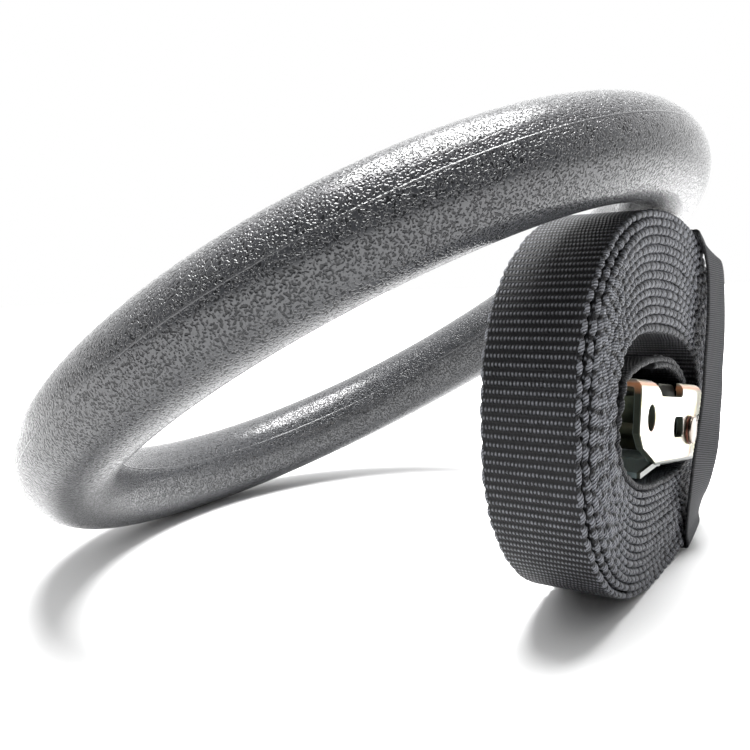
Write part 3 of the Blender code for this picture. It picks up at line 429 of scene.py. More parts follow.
def web_grid(line, along):
    """Points of the webbing: each section of the outline set square to the line.

    The faces rise and fall with the size of a sine, once for each rib. At an edge the outline swells out
    and thickens once for every second rib, by the size of a sine at the near edge and of a cosine at the
    far one, and sways to either face a quarter later; slow sines shift these beads to and fro along the
    edge. The turns wander sideways by a sum of sines, and at the roll's left the inner ones stand out from
    the outer ones, a step for each. Over and under the core the turns lie farther apart, and the webbing is
    made thicker there, by a share times the square of how steeply its place is seen from the middle; the
    last turn is so on its inner side only. Returned with the points: how far each is edge, and its bead's
    height.
    """
    outline, edge = web_section()
    run = np.gradient(line, axis=0)
    run /= np.linalg.norm(run, axis=1)[:, None]
    normal = np.stack([-run[:, 1], run[:, 0]], axis=1)
    phase = math.pi * along[:, None] / RIB_PITCH
    rib = np.abs(np.sin(phase)) ** 0.8
    side = np.sign(outline[:, 0])
    shifted = sum(size * np.sin(along / reach) for size, reach in BEAD_SHIFTS)
    turn_back = phase / 2 + shifted[:, None] + np.where(side < 0, 0, math.pi / 2)
    bead = np.abs(np.sin(turn_back)) ** 0.8
    sway = sum(size * np.sin(along / reach + start) for size, reach, start in EDGE_WAVES)
    turns_left = (along[-1] - along) / along[-1] * ROLL_TURNS
    at_left = np.clip(-line[:, 0] / (ROLL_LENGTH / 2), 0, 1) ** 1.2
    sway = sway - TURN_STEP * at_left * np.clip(turns_left / STEPPED_TURNS, 0, 1)
    across = outline[None, :, 0] + side * edge * (bead - 0.4) * BEAD_DEPTH + sway[:, None]
    swell = 1 + RIB_DEPTH * (rib - 0.65) * (1 - edge) + BEAD_SWELL * edge * (bead - 0.5)
    sideways = BEAD_SWAY * edge * np.cos(turn_back)
    rise = line[:, 1] / np.hypot(line[:, 0] * ROLL_HEIGHT / ROLL_LENGTH, line[:, 1])
    share = THICKER_OVER * np.clip(rise, 0, 1) ** 2 + THICKER_UNDER * np.clip(-rise, 0, 1) ** 2
    share = share * np.clip((along - THICKER_FROM) / (THICKER_TO - THICKER_FROM), 0, 1)
    outer_side = (turns_left[:, None] < OUTERMOST_TURN) & (outline[None, :, 1] < 0)
    thicker = 1 + np.where(outer_side, 0, share[:, None])
    through_web = outline[None, :, 1] * swell * thicker + sideways
    x = ROLL_MIDDLE_X + line[:, None, 0] + normal[:, None, 0] * through_web
    z = roll_z + line[:, None, 1] + normal[:, None, 1] * through_web
    return np.stack([x, roll_y + across, z], axis=-1), np.broadcast_to(edge, bead.shape), bead


def ripple(skin, distance, pitch):
    """The size of a sine of a distance: one hump to each pitch, with a sharp dip between two humps."""
    turns = add(skin, "Math", {"operation": "MULTIPLY"}, {0: distance, 1: math.pi / pitch})
    wave = add(skin, "Math", {"operation": "SINE"}, {0: turns})
    return add(skin, "Math", {"operation": "ABSOLUTE"}, {0: wave})


def web_skin():
    """Black polyester webbing: strands in ribs across and warp ends along it, their crests painted light as
    highlight and the gaps between painted dark as shade.

    The strands of one rib lie between those of the last, and a fine noise flecks them as filaments do. On
    the round of either edge, which the mesh holds as attributes, slanting filaments run over one bead for
    every second rib, painted lighter as highlight. The innermost turns are painted dark as shade in the
    roll's core.
    The filaments are drawn coarse enough to show.
    """
    skin, shader = new_skin("woven_polyester_webbing")
    flat = add(skin, "UVMap", {"uv_map": "flat"})
    axes = add(skin, "SeparateXYZ", None, {0: flat})
    ribs = add(skin, "Math", {"operation": "MULTIPLY"}, {0: axes.outputs[1], 1: 1 / RIB_PITCH})
    row = add(skin, "Math", {"operation": "FLOOR"}, {0: ribs})
    step = STRAP_WIDTH / WARP_COUNT
    beside = add(skin, "Math", {"operation": "MULTIPLY_ADD"}, {0: row, 1: step / 2, 2: axes.outputs[0]})
    strand = ripple(skin, beside, step)
    crest = ripple(skin, axes.outputs[1], RIB_PITCH)
    hump = add(skin, "Math", {"operation": "POWER"}, {0: crest, 1: 2.2})
    strands = add(skin, "Math", {"operation": "MULTIPLY"}, {0: strand, 1: hump})
    edge = add(skin, "Attribute", {"attribute_name": "edge"}).outputs["Fac"]
    edge = add(skin, "MapRange", None, {"Value": edge, "From Max": 0.3})
    bead = add(skin, "Attribute", {"attribute_name": "bead"}).outputs["Fac"]
    slope = {0: axes.outputs[0], 1: FILAMENT_SLANT, 2: axes.outputs[1]}
    slant = add(skin, "Math", {"operation": "MULTIPLY_ADD"}, slope)
    lay = {"Value": ripple(skin, slant, FILAMENT_PITCH), "To Min": 0.55, "To Max": 1.35}
    bead = add(skin, "Math", {"operation": "MULTIPLY"}, {0: bead, 1: add(skin, "MapRange", None, lay)})
    # Painted highlight and shade: the strand crests and edge beads are lighter, and the gaps between them
    # darker.
    dots = add(skin, "Mix", None, {0: edge, 2: strands, 3: bead})
    place = add(skin, "TexCoord").outputs["Object"]
    flecks = {"Vector": place, "Scale": 1 / FIBRE_SIZE, "Detail": 3.0, "Roughness": 0.7}
    fibre = add(skin, "TexNoise", None, flecks)
    height = add(skin, "Math", {"operation": "MULTIPLY_ADD"}, {0: fibre, 1: 0.35, 2: dots})
    bump = add(skin, "Bump", None, {"Height": height, "Strength": 1.0, "Distance": WEAVE_RELIEF})
    patchy = add(skin, "TexNoise", None, {"Vector": place, "Scale": 1 / RUBBED_PATCH_SIZE, "Detail": 2.0})
    bright = add(skin, "Math", {"operation": "MULTIPLY"}, {0: dots, 1: fibre})
    bright = add(skin, "Math", {"operation": "MULTIPLY_ADD"}, {0: patchy, 1: 0.25, 2: bright})
    bright = add(skin, "MapRange", None, {"Value": bright, "From Min": 0.32, "From Max": 0.72})
    # Painted shade: over the first stretch of the strap, the innermost turns in the roll's core, the tone
    # is held near the dark colour.
    core_shade = {"Value": axes.outputs[1], "From Min": CORE_SHADE_FROM, "From Max": CORE_SHADE_TO, "To Min": 0.2}
    bright = add(skin, "Math", {"operation": "MULTIPLY"}, {0: bright, 1: add(skin, "MapRange", None, core_shade)})
    dark, light = linear(WEB_COLOUR), linear(WEB_LIGHT_COLOUR)
    tone = add(skin, "Mix", {"data_type": "RGBA"}, {0: bright, 6: dark, 7: light})
    wire(skin, tone.outputs[2], shader.inputs["Base Color"])
    wire(skin, bump, shader.inputs["Normal"])
    shader.inputs["Roughness"].default_value = 0.5
    shader.inputs["Specular IOR Level"].default_value = 0.22
    return skin


line = web_line()
along = np.arange(len(line)) * RIB_PITCH / RIB_SAMPLES
grid, edge_share, bead_height = web_grid(line, along)
grid[:, :, 2] = np.maximum(grid[:, :, 2], FLOOR_GAP)
outline, _ = web_section()
outline_run = np.linalg.norm(np.diff(np.vstack([outline, outline[:1]]), axis=0), axis=1)
around = np.concatenate([[0], np.cumsum(outline_run)])
webbing = web_skin()
STRAP_PARTS = (
    "strap_sewn_end_and_inner_turns",
    "strap_inner_middle_turns",
    "strap_middle_turns",
    "strap_outer_middle_turns",
    "strap_outer_turns",
)
part_rows = len(line) // len(STRAP_PARTS) // RIB_SAMPLES * RIB_SAMPLES
for number, name in enumerate(STRAP_PARTS):
    last = len(line) if name == STRAP_PARTS[-1] else (number + 1) * part_rows + 1
    rows = slice(number * part_rows, last)
    uv = np.stack(np.broadcast_arrays(around[None, :], along[rows, None]), axis=-1)
    piece = grid_piece(name, grid[rows], webbing, uv=uv, caps=True, flip=True)
    for label, values in (("edge", edge_share), ("bead", bead_height)):
        layer = piece.data.attributes.new(label, "FLOAT", "POINT")
        layer.data.foreach_set("value", values[rows].ravel())
    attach(piece, "strap_roll")
    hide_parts("strap_webbing")
    length = float(along[rows][-1] - along[rows][0])

# The buckle's frame is pressed from 2 mm steel sheet, with its corners broken by tumbling, and bright zinc
# plated. The passivation leaves faint straw and copper tints that drift over the near-white metal. Inside
# the channel the same plating is painted a darker, duller bluish grey as shade, and the sheared edges are
# painted dark as shade.
ZINC_COLOUR = "#e9e7e1"
ZINC_STRAW_COLOUR = "#dcd6ac"
ZINC_COPPER_COLOUR = "#c9a08c"
ZINC_SHADED_INSIDE_COLOUR = "#93a3a4"
ZINC_SHADED_EDGE_COLOUR = "#3e433a"
ZINC_BURNT_COLOUR = "#d8966c"
ZINC_BRIGHT_DEPTHS = (0.0012, 0.0002)
ZINC_BURNT_DEPTHS = (0.0040, 0.0015)
TINT_EDGE = 0.0001
STRAW_PATCH_SIZE = 0.01053
COPPER_PATCH_SIZE = 0.00769
TUMBLE_MARK_SIZE = 0.00111
TUMBLE_MARK_DEPTH = 0.00005
MERGE_WITHIN = 0.000001
FLAT_WITHIN = math.radians(1)
CORNER_FROM = math.radians(32)
SHEET_EDGE = 0.00025
FRAME_WIDTH = 0.031
FRAME_PLATE = 0.002


def broken_edges(node, name, width, skin):
    """A copy of a solid with its doubles merged, its flat faces joined and its sharp edges rounded."""
    shape = bmesh.new()
    shape.from_mesh(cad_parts[node].data)
    bmesh.ops.remove_doubles(shape, verts=shape.verts, dist=MERGE_WITHIN)
    bmesh.ops.dissolve_limit(shape, angle_limit=FLAT_WITHIN, verts=shape.verts, edges=shape.edges)
    mesh = bpy.data.meshes.new(name)
    shape.to_mesh(mesh)
    shape.free()
    mesh.shade_smooth()
    mesh.materials.append(skin)
    piece = bpy.data.objects.new(name, mesh)
    bpy.context.scene.collection.objects.link(piece)
    bevel = piece.modifiers.new("broken_edges", "BEVEL")
    bevel.width = width
    bevel.segments = 2
    bevel.limit_method = "ANGLE"
    bevel.angle_limit = CORNER_FROM
    piece.modifiers.new("flat_faces", "WEIGHTED_NORMAL").keep_sharp = True
    return piece


def zinc_skin():
    """Zinc plate over pressed steel: bright outer faces with slow drifts of tint; edges and inside painted
    darker and duller as shade.

    Distance from the roll's middle plane tells outer face, sheared edge and inside apart. The height over
    the cam's axle, square to the frame's tilt, does so for the bridge, under which the inside is burnt.
    """
    skin, shader = new_skin("bright_zinc_plated_pressing")
    place = add(skin, "TexCoord").outputs["Object"]
    drift = add(skin, "TexNoise", None, {"Vector": place, "Scale": 1 / STRAW_PATCH_SIZE, "Detail": 3.0})
    straw = add(skin, "MapRange", None, {"Value": drift, "From Min": 0.42, "From Max": 0.66})
    other = add(skin, "TexNoise", None, {"Vector": place, "Scale": 1 / COPPER_PATCH_SIZE, "Detail": 2.0})
    copper = add(skin, "MapRange", None, {"Value": other, "From Min": 0.54, "From Max": 0.74})
    zinc_colour, straw_colour = linear(ZINC_COLOUR), linear(ZINC_STRAW_COLOUR)
    tint = add(skin, "Mix", {"data_type": "RGBA"}, {0: straw, 6: zinc_colour, 7: straw_colour})
    copper_colour = linear(ZINC_COPPER_COLOUR)
    outer = add(skin, "Mix", {"data_type": "RGBA"}, {0: copper, 6: tint.outputs[2], 7: copper_colour})
    centred = add(skin, "VectorMath", {"operation": "SUBTRACT"}, {0: place, 1: tuple(axle_place)})
    axes = add(skin, "SeparateXYZ", None, {0: centred})
    aside = add(skin, "Math", {"operation": "ABSOLUTE"}, {0: axes.outputs[1]})
    upward = (math.sin(BUCKLE_TILT), 0, math.cos(BUCKLE_TILT))
    above = add(skin, "VectorMath", {"operation": "DOT_PRODUCT"}, {0: centred, 1: upward})
    above = above.outputs["Value"]
    rim = FRAME_WIDTH / 2
    inner = rim - FRAME_PLATE
    in_plate = {"Value": aside, "From Min": inner - TINT_EDGE, "From Max": inner + 2 * TINT_EDGE}
    on_face = {"Value": aside, "From Min": rim - 4 * TINT_EDGE, "From Max": rim - TINT_EDGE}
    low, high = (BUCKLE_TOP - depth for depth in ZINC_BRIGHT_DEPTHS)
    on_top = {"Value": above, "From Min": low, "From Max": high}
    # Painted shade: the inside and the sheared edges get darker colours, and less metal, than the outer
    # faces.
    sheared = add(skin, "MapRange", None, in_plate)
    shaded_inside_colour, shaded_edge_colour = linear(ZINC_SHADED_INSIDE_COLOUR), linear(ZINC_SHADED_EDGE_COLOUR)
    inside = add(skin, "Mix", {"data_type": "RGBA"}, {0: sheared, 6: shaded_inside_colour, 7: shaded_edge_colour})
    low, high = (BUCKLE_TOP - depth for depth in ZINC_BURNT_DEPTHS)
    burnt = add(skin, "MapRange", None, {"Value": above, "From Min": low, "From Max": high})
    burnt_colour = linear(ZINC_BURNT_COLOUR)
    inside = add(skin, "Mix", {"data_type": "RGBA"}, {0: burnt, 6: inside.outputs[2], 7: burnt_colour})
    face = add(skin, "MapRange", None, on_face)
    top = add(skin, "MapRange", None, on_top)
    shown = add(skin, "Math", {"operation": "MAXIMUM"}, {0: face, 1: top})
    tone = add(skin, "Mix", {"data_type": "RGBA"}, {0: shown, 6: inside.outputs[2], 7: outer.outputs[2]})
    wire(skin, tone.outputs[2], shader.inputs["Base Color"])
    marks = add(skin, "TexNoise", None, {"Vector": place, "Scale": 1 / TUMBLE_MARK_SIZE, "Detail": 4.0})
    bump = add(skin, "Bump", None, {"Height": marks, "Strength": 0.25, "Distance": TUMBLE_MARK_DEPTH})
    wire(skin, bump, shader.inputs["Normal"])
    gloss = add(skin, "MapRange", None, {"Value": marks, "To Min": 0.22, "To Max": 0.40})
    wire(skin, gloss, shader.inputs["Roughness"])
    metal = add(skin, "MapRange", None, {"Value": shown, "To Min": 0.4, "To Max": 1.0})
    wire(skin, metal, shader.inputs["Metallic"])
    return skin


zinc = zinc_skin()
pressing = broken_edges("buckle_frame", "buckle_pressing", SHEET_EDGE, zinc)
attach(pressing, "strap_roll")
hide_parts("buckle_frame")

# The cam and its thumb plate are one die casting in zinc alloy, tumbled and passivated to a dull olive
# metal, with a row of teeth that bites the webbing and ribs on the plate for the thumb.
CAST_COLOUR = "#6c6a58"
CAST_DARK_COLOUR = "#35342b"
CAST_EDGE = 0.00018
CAST_PATCH_SIZE = 0.00455
CAST_PEEL_SIZE = 0.000667
CAST_PEEL_DEPTH = 0.00008


def cast_skin():
    """Passivated die casting: a fine orange-peel skin with darker patches."""
    skin, shader = new_skin("passivated_zinc_casting")
    place = add(skin, "TexCoord").outputs["Object"]
    patch = add(skin, "TexNoise", None, {"Vector": place, "Scale": 1 / CAST_PATCH_SIZE, "Detail": 4.0})
    light, dark = linear(CAST_COLOUR), linear(CAST_DARK_COLOUR)
    tone = add(skin, "Mix", {"data_type": "RGBA"}, {0: patch, 6: light, 7: dark})
    wire(skin, tone.outputs[2], shader.inputs["Base Color"])
    peel = add(skin, "TexNoise", None, {"Vector": place, "Scale": 1 / CAST_PEEL_SIZE, "Detail": 2.0})
    bump = add(skin, "Bump", None, {"Height": peel, "Strength": 0.5, "Distance": CAST_PEEL_DEPTH})
    wire(skin, bump, shader.inputs["Normal"])
    shader.inputs["Metallic"].default_value = 1.0
    shader.inputs["Roughness"].default_value = 0.38
    return skin


casting = cast_skin()
lever = broken_edges("cam_lever", "cam_lever_casting", CAST_EDGE, casting)
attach(lever, "cam_lever")
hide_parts("cam_lever")

# Turned steel pins: the cam's rivet with its formed heads, a washer under each head, and the bar that the
# sewn loop goes round. Forming and heat leave the rivet's collar a dark red brown.
RIVET_COLOUR = "#8d8178"
COLLAR_COLOUR = "#5b3a30"
RIVET_HEAD = 0.0080
RIVET_SHANK = 0.005
RIVET_HEAD_HEIGHT = 0.0006
RIVET_HEAD_STEP = 0.0001
RIVET_DOME = 0.0002
WASHER_DIAMETER = 0.0086
WASHER_THICKNESS = 0.0005
WASHER_CHAMFER = 0.0002
BAR_CHAMFER = 0.0003
POLE_RADIUS = 0.00001
FIT_GAP = 0.0003
GRIT_SIZE = 0.00143
GRIT_DEPTH = 0.00006


def turned_grid(profile, place, sides=64):
    """Points turned about an axle along Y: each (radius, distance) of the profile goes round the axle."""
    radius, reach = np.array(profile, float).T[:, :, None]
    angle = np.linspace(0, 2 * math.pi, sides, endpoint=False)[None, :]
    level = np.broadcast_to(reach, (len(radius), sides))
    return np.array(place) + np.stack([radius * np.cos(angle), level, radius * np.sin(angle)], axis=-1)


def turned_piece(name, profile, place, skin):
    """A solid turned piece: a flat cap closes each end of the profile, and its sharp corners stay sharp."""
    piece = grid_piece(name, turned_grid(profile, place), skin, caps=True)
    shape = bmesh.new()
    shape.from_mesh(piece.data)
    bmesh.ops.recalc_face_normals(shape, faces=shape.faces)
    shape.to_mesh(piece.data)
    shape.free()
    piece.data.set_sharp_from_angle(angle=math.radians(40))
    return piece


def rivet_skin(name, code, rough):
    """Plated steel from a lathe, a press or a wire mill, rough and dark in specks from a fine grit."""
    skin, shader = new_skin(name)
    place = add(skin, "TexCoord").outputs["Object"]
    grit = add(skin, "TexNoise", None, {"Vector": place, "Scale": 1 / GRIT_SIZE, "Detail": 4.0})
    dark = tuple(0.55 * part for part in linear(code)[:3])
    tone = add(skin, "Mix", {"data_type": "RGBA"}, {0: grit, 6: linear(code), 7: (*dark, 1.0)})
    wire(skin, tone.outputs[2], shader.inputs["Base Color"])
    bump = add(skin, "Bump", None, {"Height": grit, "Strength": 0.3, "Distance": GRIT_DEPTH})
    wire(skin, bump, shader.inputs["Normal"])
    shader.inputs["Metallic"].default_value = 1.0
    shader.inputs["Roughness"].default_value = rough
    return skin


plated_steel = rivet_skin("plated_turned_steel", RIVET_COLOUR, 0.25)
browned_steel = rivet_skin("browned_pressed_steel", COLLAR_COLOUR, 0.35)
seat = FRAME_WIDTH / 2 + WASHER_THICKNESS + 2 * FIT_GAP
head_top = seat + RIVET_HEAD_HEIGHT
head_radius = RIVET_HEAD / 2
corner_radius = RIVET_HEAD_HEIGHT * 0.7
corner_at = np.array([head_radius, head_top]) - corner_radius
bend = np.linspace(0, math.pi / 2, 7)[:, None]
head_round = corner_at + corner_radius * np.hstack([np.cos(bend), np.sin(bend)])
dome = [(head_radius * share, head_top + RIVET_DOME * (1 - share**2)) for share in (0.7, 0.4, 0.15)]
half_pin = [(RIVET_SHANK / 2, 0.0), (RIVET_SHANK / 2, seat), (head_radius - RIVET_HEAD_STEP, seat)]
half_pin += [*head_round, *dome, (POLE_RADIUS, head_top + RIVET_DOME)]
whole_pin = [(radius, -reach) for radius, reach in reversed(half_pin)] + half_pin[1:]
rivet = turned_piece("cam_rivet", whole_pin, axle_place, plated_steel)
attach(rivet, "strap_roll")
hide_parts("cam_axle")
for node, side in (("axle_washer_front", -1), ("axle_washer_back", 1)):
    near = FRAME_WIDTH / 2 + FIT_GAP
    far = near + WASHER_THICKNESS
    outer = WASHER_DIAMETER / 2
    inner = RIVET_SHANK / 2 + FIT_GAP
    chamfer = [(outer - WASHER_CHAMFER, far), (outer, far - WASHER_CHAMFER)]
    profile = [(inner, near), (inner, far), *chamfer, (outer, near)]
    profile = [(radius, side * reach) for radius, reach in profile]
    ring_grid = turned_grid(profile, axle_place)
    washer = grid_piece(f"{node}_browned", ring_grid, browned_steel, along=True, flip=side < 0)
    washer.data.set_sharp_from_angle(angle=math.radians(40))
    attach(washer, "strap_roll")
    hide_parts(node)
low, high = (np.array(corner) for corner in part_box("loop_bar"))
bar_half = (high - low)[1] / 2
bar_radius = BAR_DIAMETER / 2
bar_profile = [(bar_radius - BAR_CHAMFER, -bar_half), (bar_radius, -bar_half + BAR_CHAMFER)]
bar_profile += [(radius, -reach) for radius, reach in reversed(bar_profile)]
bar = turned_piece("loop_bar_pin", bar_profile, (low + high) / 2, plated_steel)
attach(bar, "strap_roll")
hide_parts("loop_bar")

# The torsion spring is drawn music wire, two turns round the rivet: its short leg stands on the frame's
# base and its long leg runs out under the thumb plate, with its end hooked across. Pressing the plate turns
# that leg with it, so the coil between the two legs winds up.
SPRING_COLOUR = "#8a8780"
SPRING_WIRE = 0.0008
SPRING_TURNS = 2
SPRING_HOOK_REACH = 0.0102
SPRING_HOOK_LENGTH = 0.004
SPRING_HOOK_BEND = (-0.0001, 0.0002, 0)
SPRING_FOOT_ANGLE = math.radians(-45)
SPRING_LEG_ANGLE = math.radians(86)
SPRING_POINTS = 120
CAM_WIDTH = 0.020
FRAME_FOOT = -0.0097


def swept(name, line, radius, skin, sides=12, caps=True):
    """A round wire along a line: circles set square to it, each turned on from the last without a twist."""
    run = np.gradient(line, axis=0)
    run /= np.linalg.norm(run, axis=1)[:, None]
    side = np.cross(run[0], (0.3, 1, 0.2))
    sides_of = []
    for direction in run:
        side = side - direction * float(side @ direction)
        side /= np.linalg.norm(side)
        sides_of.append(side)
    across = np.array(sides_of)
    up = np.cross(run, across)
    angle = np.linspace(0, 2 * math.pi, sides, endpoint=False)[None, :, None]
    thick = np.broadcast_to(np.asarray(radius, float), (len(line),))[:, None, None]
    grid = line[:, None] + thick * (np.cos(angle) * across[:, None] + np.sin(angle) * up[:, None])
    return grid_piece(name, grid, skin, caps=caps, flip=True)


def on_buckle(points):
    """Points of the buckle's own frame, origin on the cam's axle, as places in the part's frame."""
    points = np.asarray(points, float)
    flat = turned(points[:, [0, 2]], BUCKLE_TILT)
    return axle_place + np.stack([flat[:, 0], points[:, 1], flat[:, 1]], axis=-1)


def spring_line():
    """A helix round the rivet with a straight leg at each end and a hook square to the long one."""
    radius = RIVET_SHANK / 2 + 2 * FIT_GAP + SPRING_WIRE / 2
    last = SPRING_LEG_ANGLE + 2 * math.pi * SPRING_TURNS
    near = -FRAME_WIDTH / 2 + FRAME_PLATE + FIT_GAP + SPRING_WIRE / 2
    far = -CAM_WIDTH / 2 - FIT_GAP - SPRING_WIRE / 2
    angle = np.linspace(SPRING_FOOT_ANGLE, last, SPRING_POINTS)
    depth = np.linspace(near, far, SPRING_POINTS)
    coil = np.stack([radius * np.cos(angle), depth, radius * np.sin(angle)], axis=-1)
    foot_z = FRAME_FOOT + FRAME_PLATE + FIT_GAP + SPRING_WIRE / 2
    drop = coil[0, 2] - foot_z
    foot = np.array([coil[0, 0] - drop, near, foot_z])
    tip = coil[-1] + SPRING_HOOK_REACH * np.array([-math.sin(last), 0, math.cos(last)])
    leg = np.linspace(coil[-1], tip - (tip - coil[-1]) * 0.08, 12)[1:]
    bend = tip + np.array([SPRING_HOOK_BEND])
    hook = tip + np.linspace((0, SPRING_WIRE, 0), (0, SPRING_HOOK_LENGTH, 0), 6)
    return on_buckle(np.concatenate([np.linspace(foot, coil[0], 8)[:-1], coil, leg, bend, hook]))


spring_wire = rivet_skin("drawn_spring_wire", SPRING_COLOUR, 0.3)
spring = swept("torsion_spring", spring_line(), SPRING_WIRE / 2, spring_wire)
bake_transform(spring)
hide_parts("cam_spring")

# Bonded polyester thread closes the sewn loop in rows across the doubled webbing. Each stitch lies on the
# face for 3 mm and dips into the weave at its ends.
THREAD_COLOUR = "#303135"
THREAD_DIAMETER = 0.0005
STITCH_ROWS = 7
STITCH_LENGTH = 0.003
STITCH_MARGIN = 0.003
STITCH_ROW_STEPS = 10
ARCH_STEP = 0.0003
THREAD_LAY_SIZE = 0.0001923
THREAD_LAY_DEPTH = 0.0001


def thread_skin():
    """Twisted and bonded thread: a fine noise in the bump, as uneven as its plies."""
    skin, shader = new_skin("bonded_polyester_thread")
    place = add(skin, "TexCoord").outputs["Object"]
    lay = add(skin, "TexNoise", None, {"Vector": place, "Scale": 1 / THREAD_LAY_SIZE, "Detail": 2.0})
    bump = add(skin, "Bump", None, {"Height": lay, "Strength": 0.7, "Distance": THREAD_LAY_DEPTH})
    wire(skin, bump, shader.inputs["Normal"])
    shader.inputs["Base Color"].default_value = linear(THREAD_COLOUR)
    shader.inputs["Roughness"].default_value = 0.5
    return skin


def stitch_line():
    """Rows across the arch's top face, joined end to end; the height dips once for each stitch length."""
    loop = sewn_loop()
    arch = loop[np.argmax(loop[:, 0]) + 12 :]
    arch, _ = evenly(arch, ARCH_STEP)
    first = int(np.argmax(arch[:, 1])) - STITCH_ROW_STEPS * STITCH_ROWS // 2
    half = STRAP_WIDTH / 2 - STITCH_MARGIN
    rows = []
    for row in range(STITCH_ROWS):
        at = first + STITCH_ROW_STEPS * row
        run = arch[at + 1] - arch[at - 1]
        up = np.array([run[1], -run[0]]) / np.linalg.norm(run)
        y = np.linspace(half, -half, 57) * (1 if row % 2 else -1)
        shown = 2 * np.abs(np.cos(math.pi * y / STITCH_LENGTH)) ** 0.5 - 1
        lift = WEB_THICKNESS / 2 + THREAD_DIAMETER / 2 * shown
        place = arch[at] + up * lift[:, None]
        rows.append(np.stack([place[:, 0], y, place[:, 1]], axis=-1))
    return on_buckle(np.concatenate(rows))


stitches = swept("sewn_loop_stitches", stitch_line(), THREAD_DIAMETER / 2, thread_skin(), sides=8)
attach(stitches, "strap_roll")
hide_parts("loop_stitching")

# The keeper is a loop of ribbed elastic tape, stretched round the roll. It slants over the open face and
# the buckle's ear, and a knot of its seam's thread stands out at its right edge. A row of TAPE_FACE_ROWS
# is a place of its left edge: shares of the way along the roll, out from it and up it, and two angles.
TAPE_COLOUR = "#434448"
TAPE_DARK_COLOUR = "#08080a"
TAPE_WIDTH = 0.015
TAPE_THICKNESS = 0.0009
TAPE_RIB = 0.00068
TAPE_DARK_EDGE = 0.0009
TAPE_DARK_EDGE_BLUR = 0.0002
TAPE_SCALLOP = 0.00022
TAPE_RELIEF = 0.0002
TAPE_FUZZ_SIZE = 0.0003125
TAPE_REST = 0.00065
TAPE_GAP = 0.0001
TAPE_TOP_REACH = 0.37
TAPE_FOOT_REACH = 0.17
TAPE_FACE_ROWS = [
    (0.412, 0.08, 0.896, 1, 22),
    (0.452, 0.20, 0.871, 4, 14),
    (0.477, 0.30, 0.844, 6, 9),
    (0.492, 0.45, 0.800, 6, 6),
    (0.469, 0.62, 0.741, 6, 6),
    (0.423, 0.78, 0.676, 7, 7),
    (0.363, 0.90, 0.606, 8, 9),
    (0.302, 1.00, 0.537, 8, 10),
    (0.261, 1.05, 0.472, 9, 11),
    (0.203, 1.05, 0.407, 10, 12),
    (0.134, 1.05, 0.350, 12, 13),
    (0.075, 1.00, 0.292, 12, 12),
    (0.052, 0.75, 0.199, 8, 4),
    (0.075, 0.40, 0.120, 3, -8),
    (0.115, 0.12, 0.060, 0, -14),
]
KNOT_RADIUS = 0.00045
KNOT_THREAD = 0.0005
KNOT_OFFSET = (0.0003, -0.0001, 0.0006)
OUTER_TURN_LENGTH = 0.38


def roll_face(offset, side):
    """Height of the roll's outer face, side 1 over and -1 under it, at that x from the roll's middle."""
    outer = line[along > along[-1] - OUTER_TURN_LENGTH]
    half = outer[outer[:, 1] * side > 0]
    half = half[np.argsort(half[:, 0])]
    return roll_z + float(np.interp(offset, half[:, 0], half[:, 1])) + side * WEB_THICKNESS / 2


def tape_seat(left, side):
    """The tape's section over the roll's top or under its foot: edge, middle and edge, laid on the roll."""
    seat = [(left, roll_face(left, side))]
    for _ in range(2):
        x, z = seat[-1]
        slope = math.atan2(roll_face(x + TAPE_WIDTH / 2, side) - z, TAPE_WIDTH / 2)
        x += TAPE_WIDTH / 2 * math.cos(slope)
        seat.append((x, roll_face(x, side)))
    places = np.linspace(seat[0][0], seat[-1][0], 17)
    chord = np.interp(places, *np.transpose(seat))
    bulge = max(side * (roll_face(x, side) - z) for x, z in zip(places, chord))
    lift = side * (bulge + (TAPE_THICKNESS / 2 + TAPE_GAP) / math.cos(slope))
    return [(x, z + lift) for x, z in seat]


def tape_columns():
    """The tape's left edge, middle and right edge as closed lines: top, open face, foot and back.

    On the face a row's right edge lies a tape's width from its left one, along a direction that is turned
    out from the face by one angle and falls to the right by the other. The back mirrors the face.
    """
    near = STRAP_WIDTH / 2
    face = near + TAPE_REST
    half = [(near / 3, 0), (near - 2 * TAPE_REST, 0), (near, 0)]
    half += [(near + 0.85 * TAPE_REST, 0.4 * TAPE_REST), (face, 2 * TAPE_REST)]
    run = [(-y, fold) for y, fold in reversed(half)] + half
    span = ROLL_LENGTH / 2 - BUCKLE_PLACE[0]
    crossings = []
    for side, reach in ((1, TAPE_TOP_REACH), (-1, TAPE_FOOT_REACH)):
        seat = tape_seat(BUCKLE_PLACE[0] + reach * span, side)
        crossings.append([[(x, -side * y, z - side * fold) for x, z in seat] for y, fold in run])
    front = []
    for reach, out, height, tilt, slant in TAPE_FACE_ROWS:
        y = -face - out * (FRAME_WIDTH - STRAP_WIDTH) / 2
        left = np.array([BUCKLE_PLACE[0] + reach * span, y, height * ROLL_HEIGHT])
        tilt, slant = math.radians(tilt), math.radians(slant)
        flat = math.cos(tilt)
        width = TAPE_WIDTH * np.array([flat * math.cos(slant), -math.sin(tilt), -flat * math.sin(slant)])
        front.append([left, left + width / 2, left + width])
    back = [[(x, -y, z) for x, y, z in row] for row in reversed(front)]
    rows = np.array([*crossings[0], *front, *crossings[1], *back])
    return [through(rows[:, column], 16, closed=True) + (ROLL_MIDDLE_X, roll_y, 0) for column in range(3)]


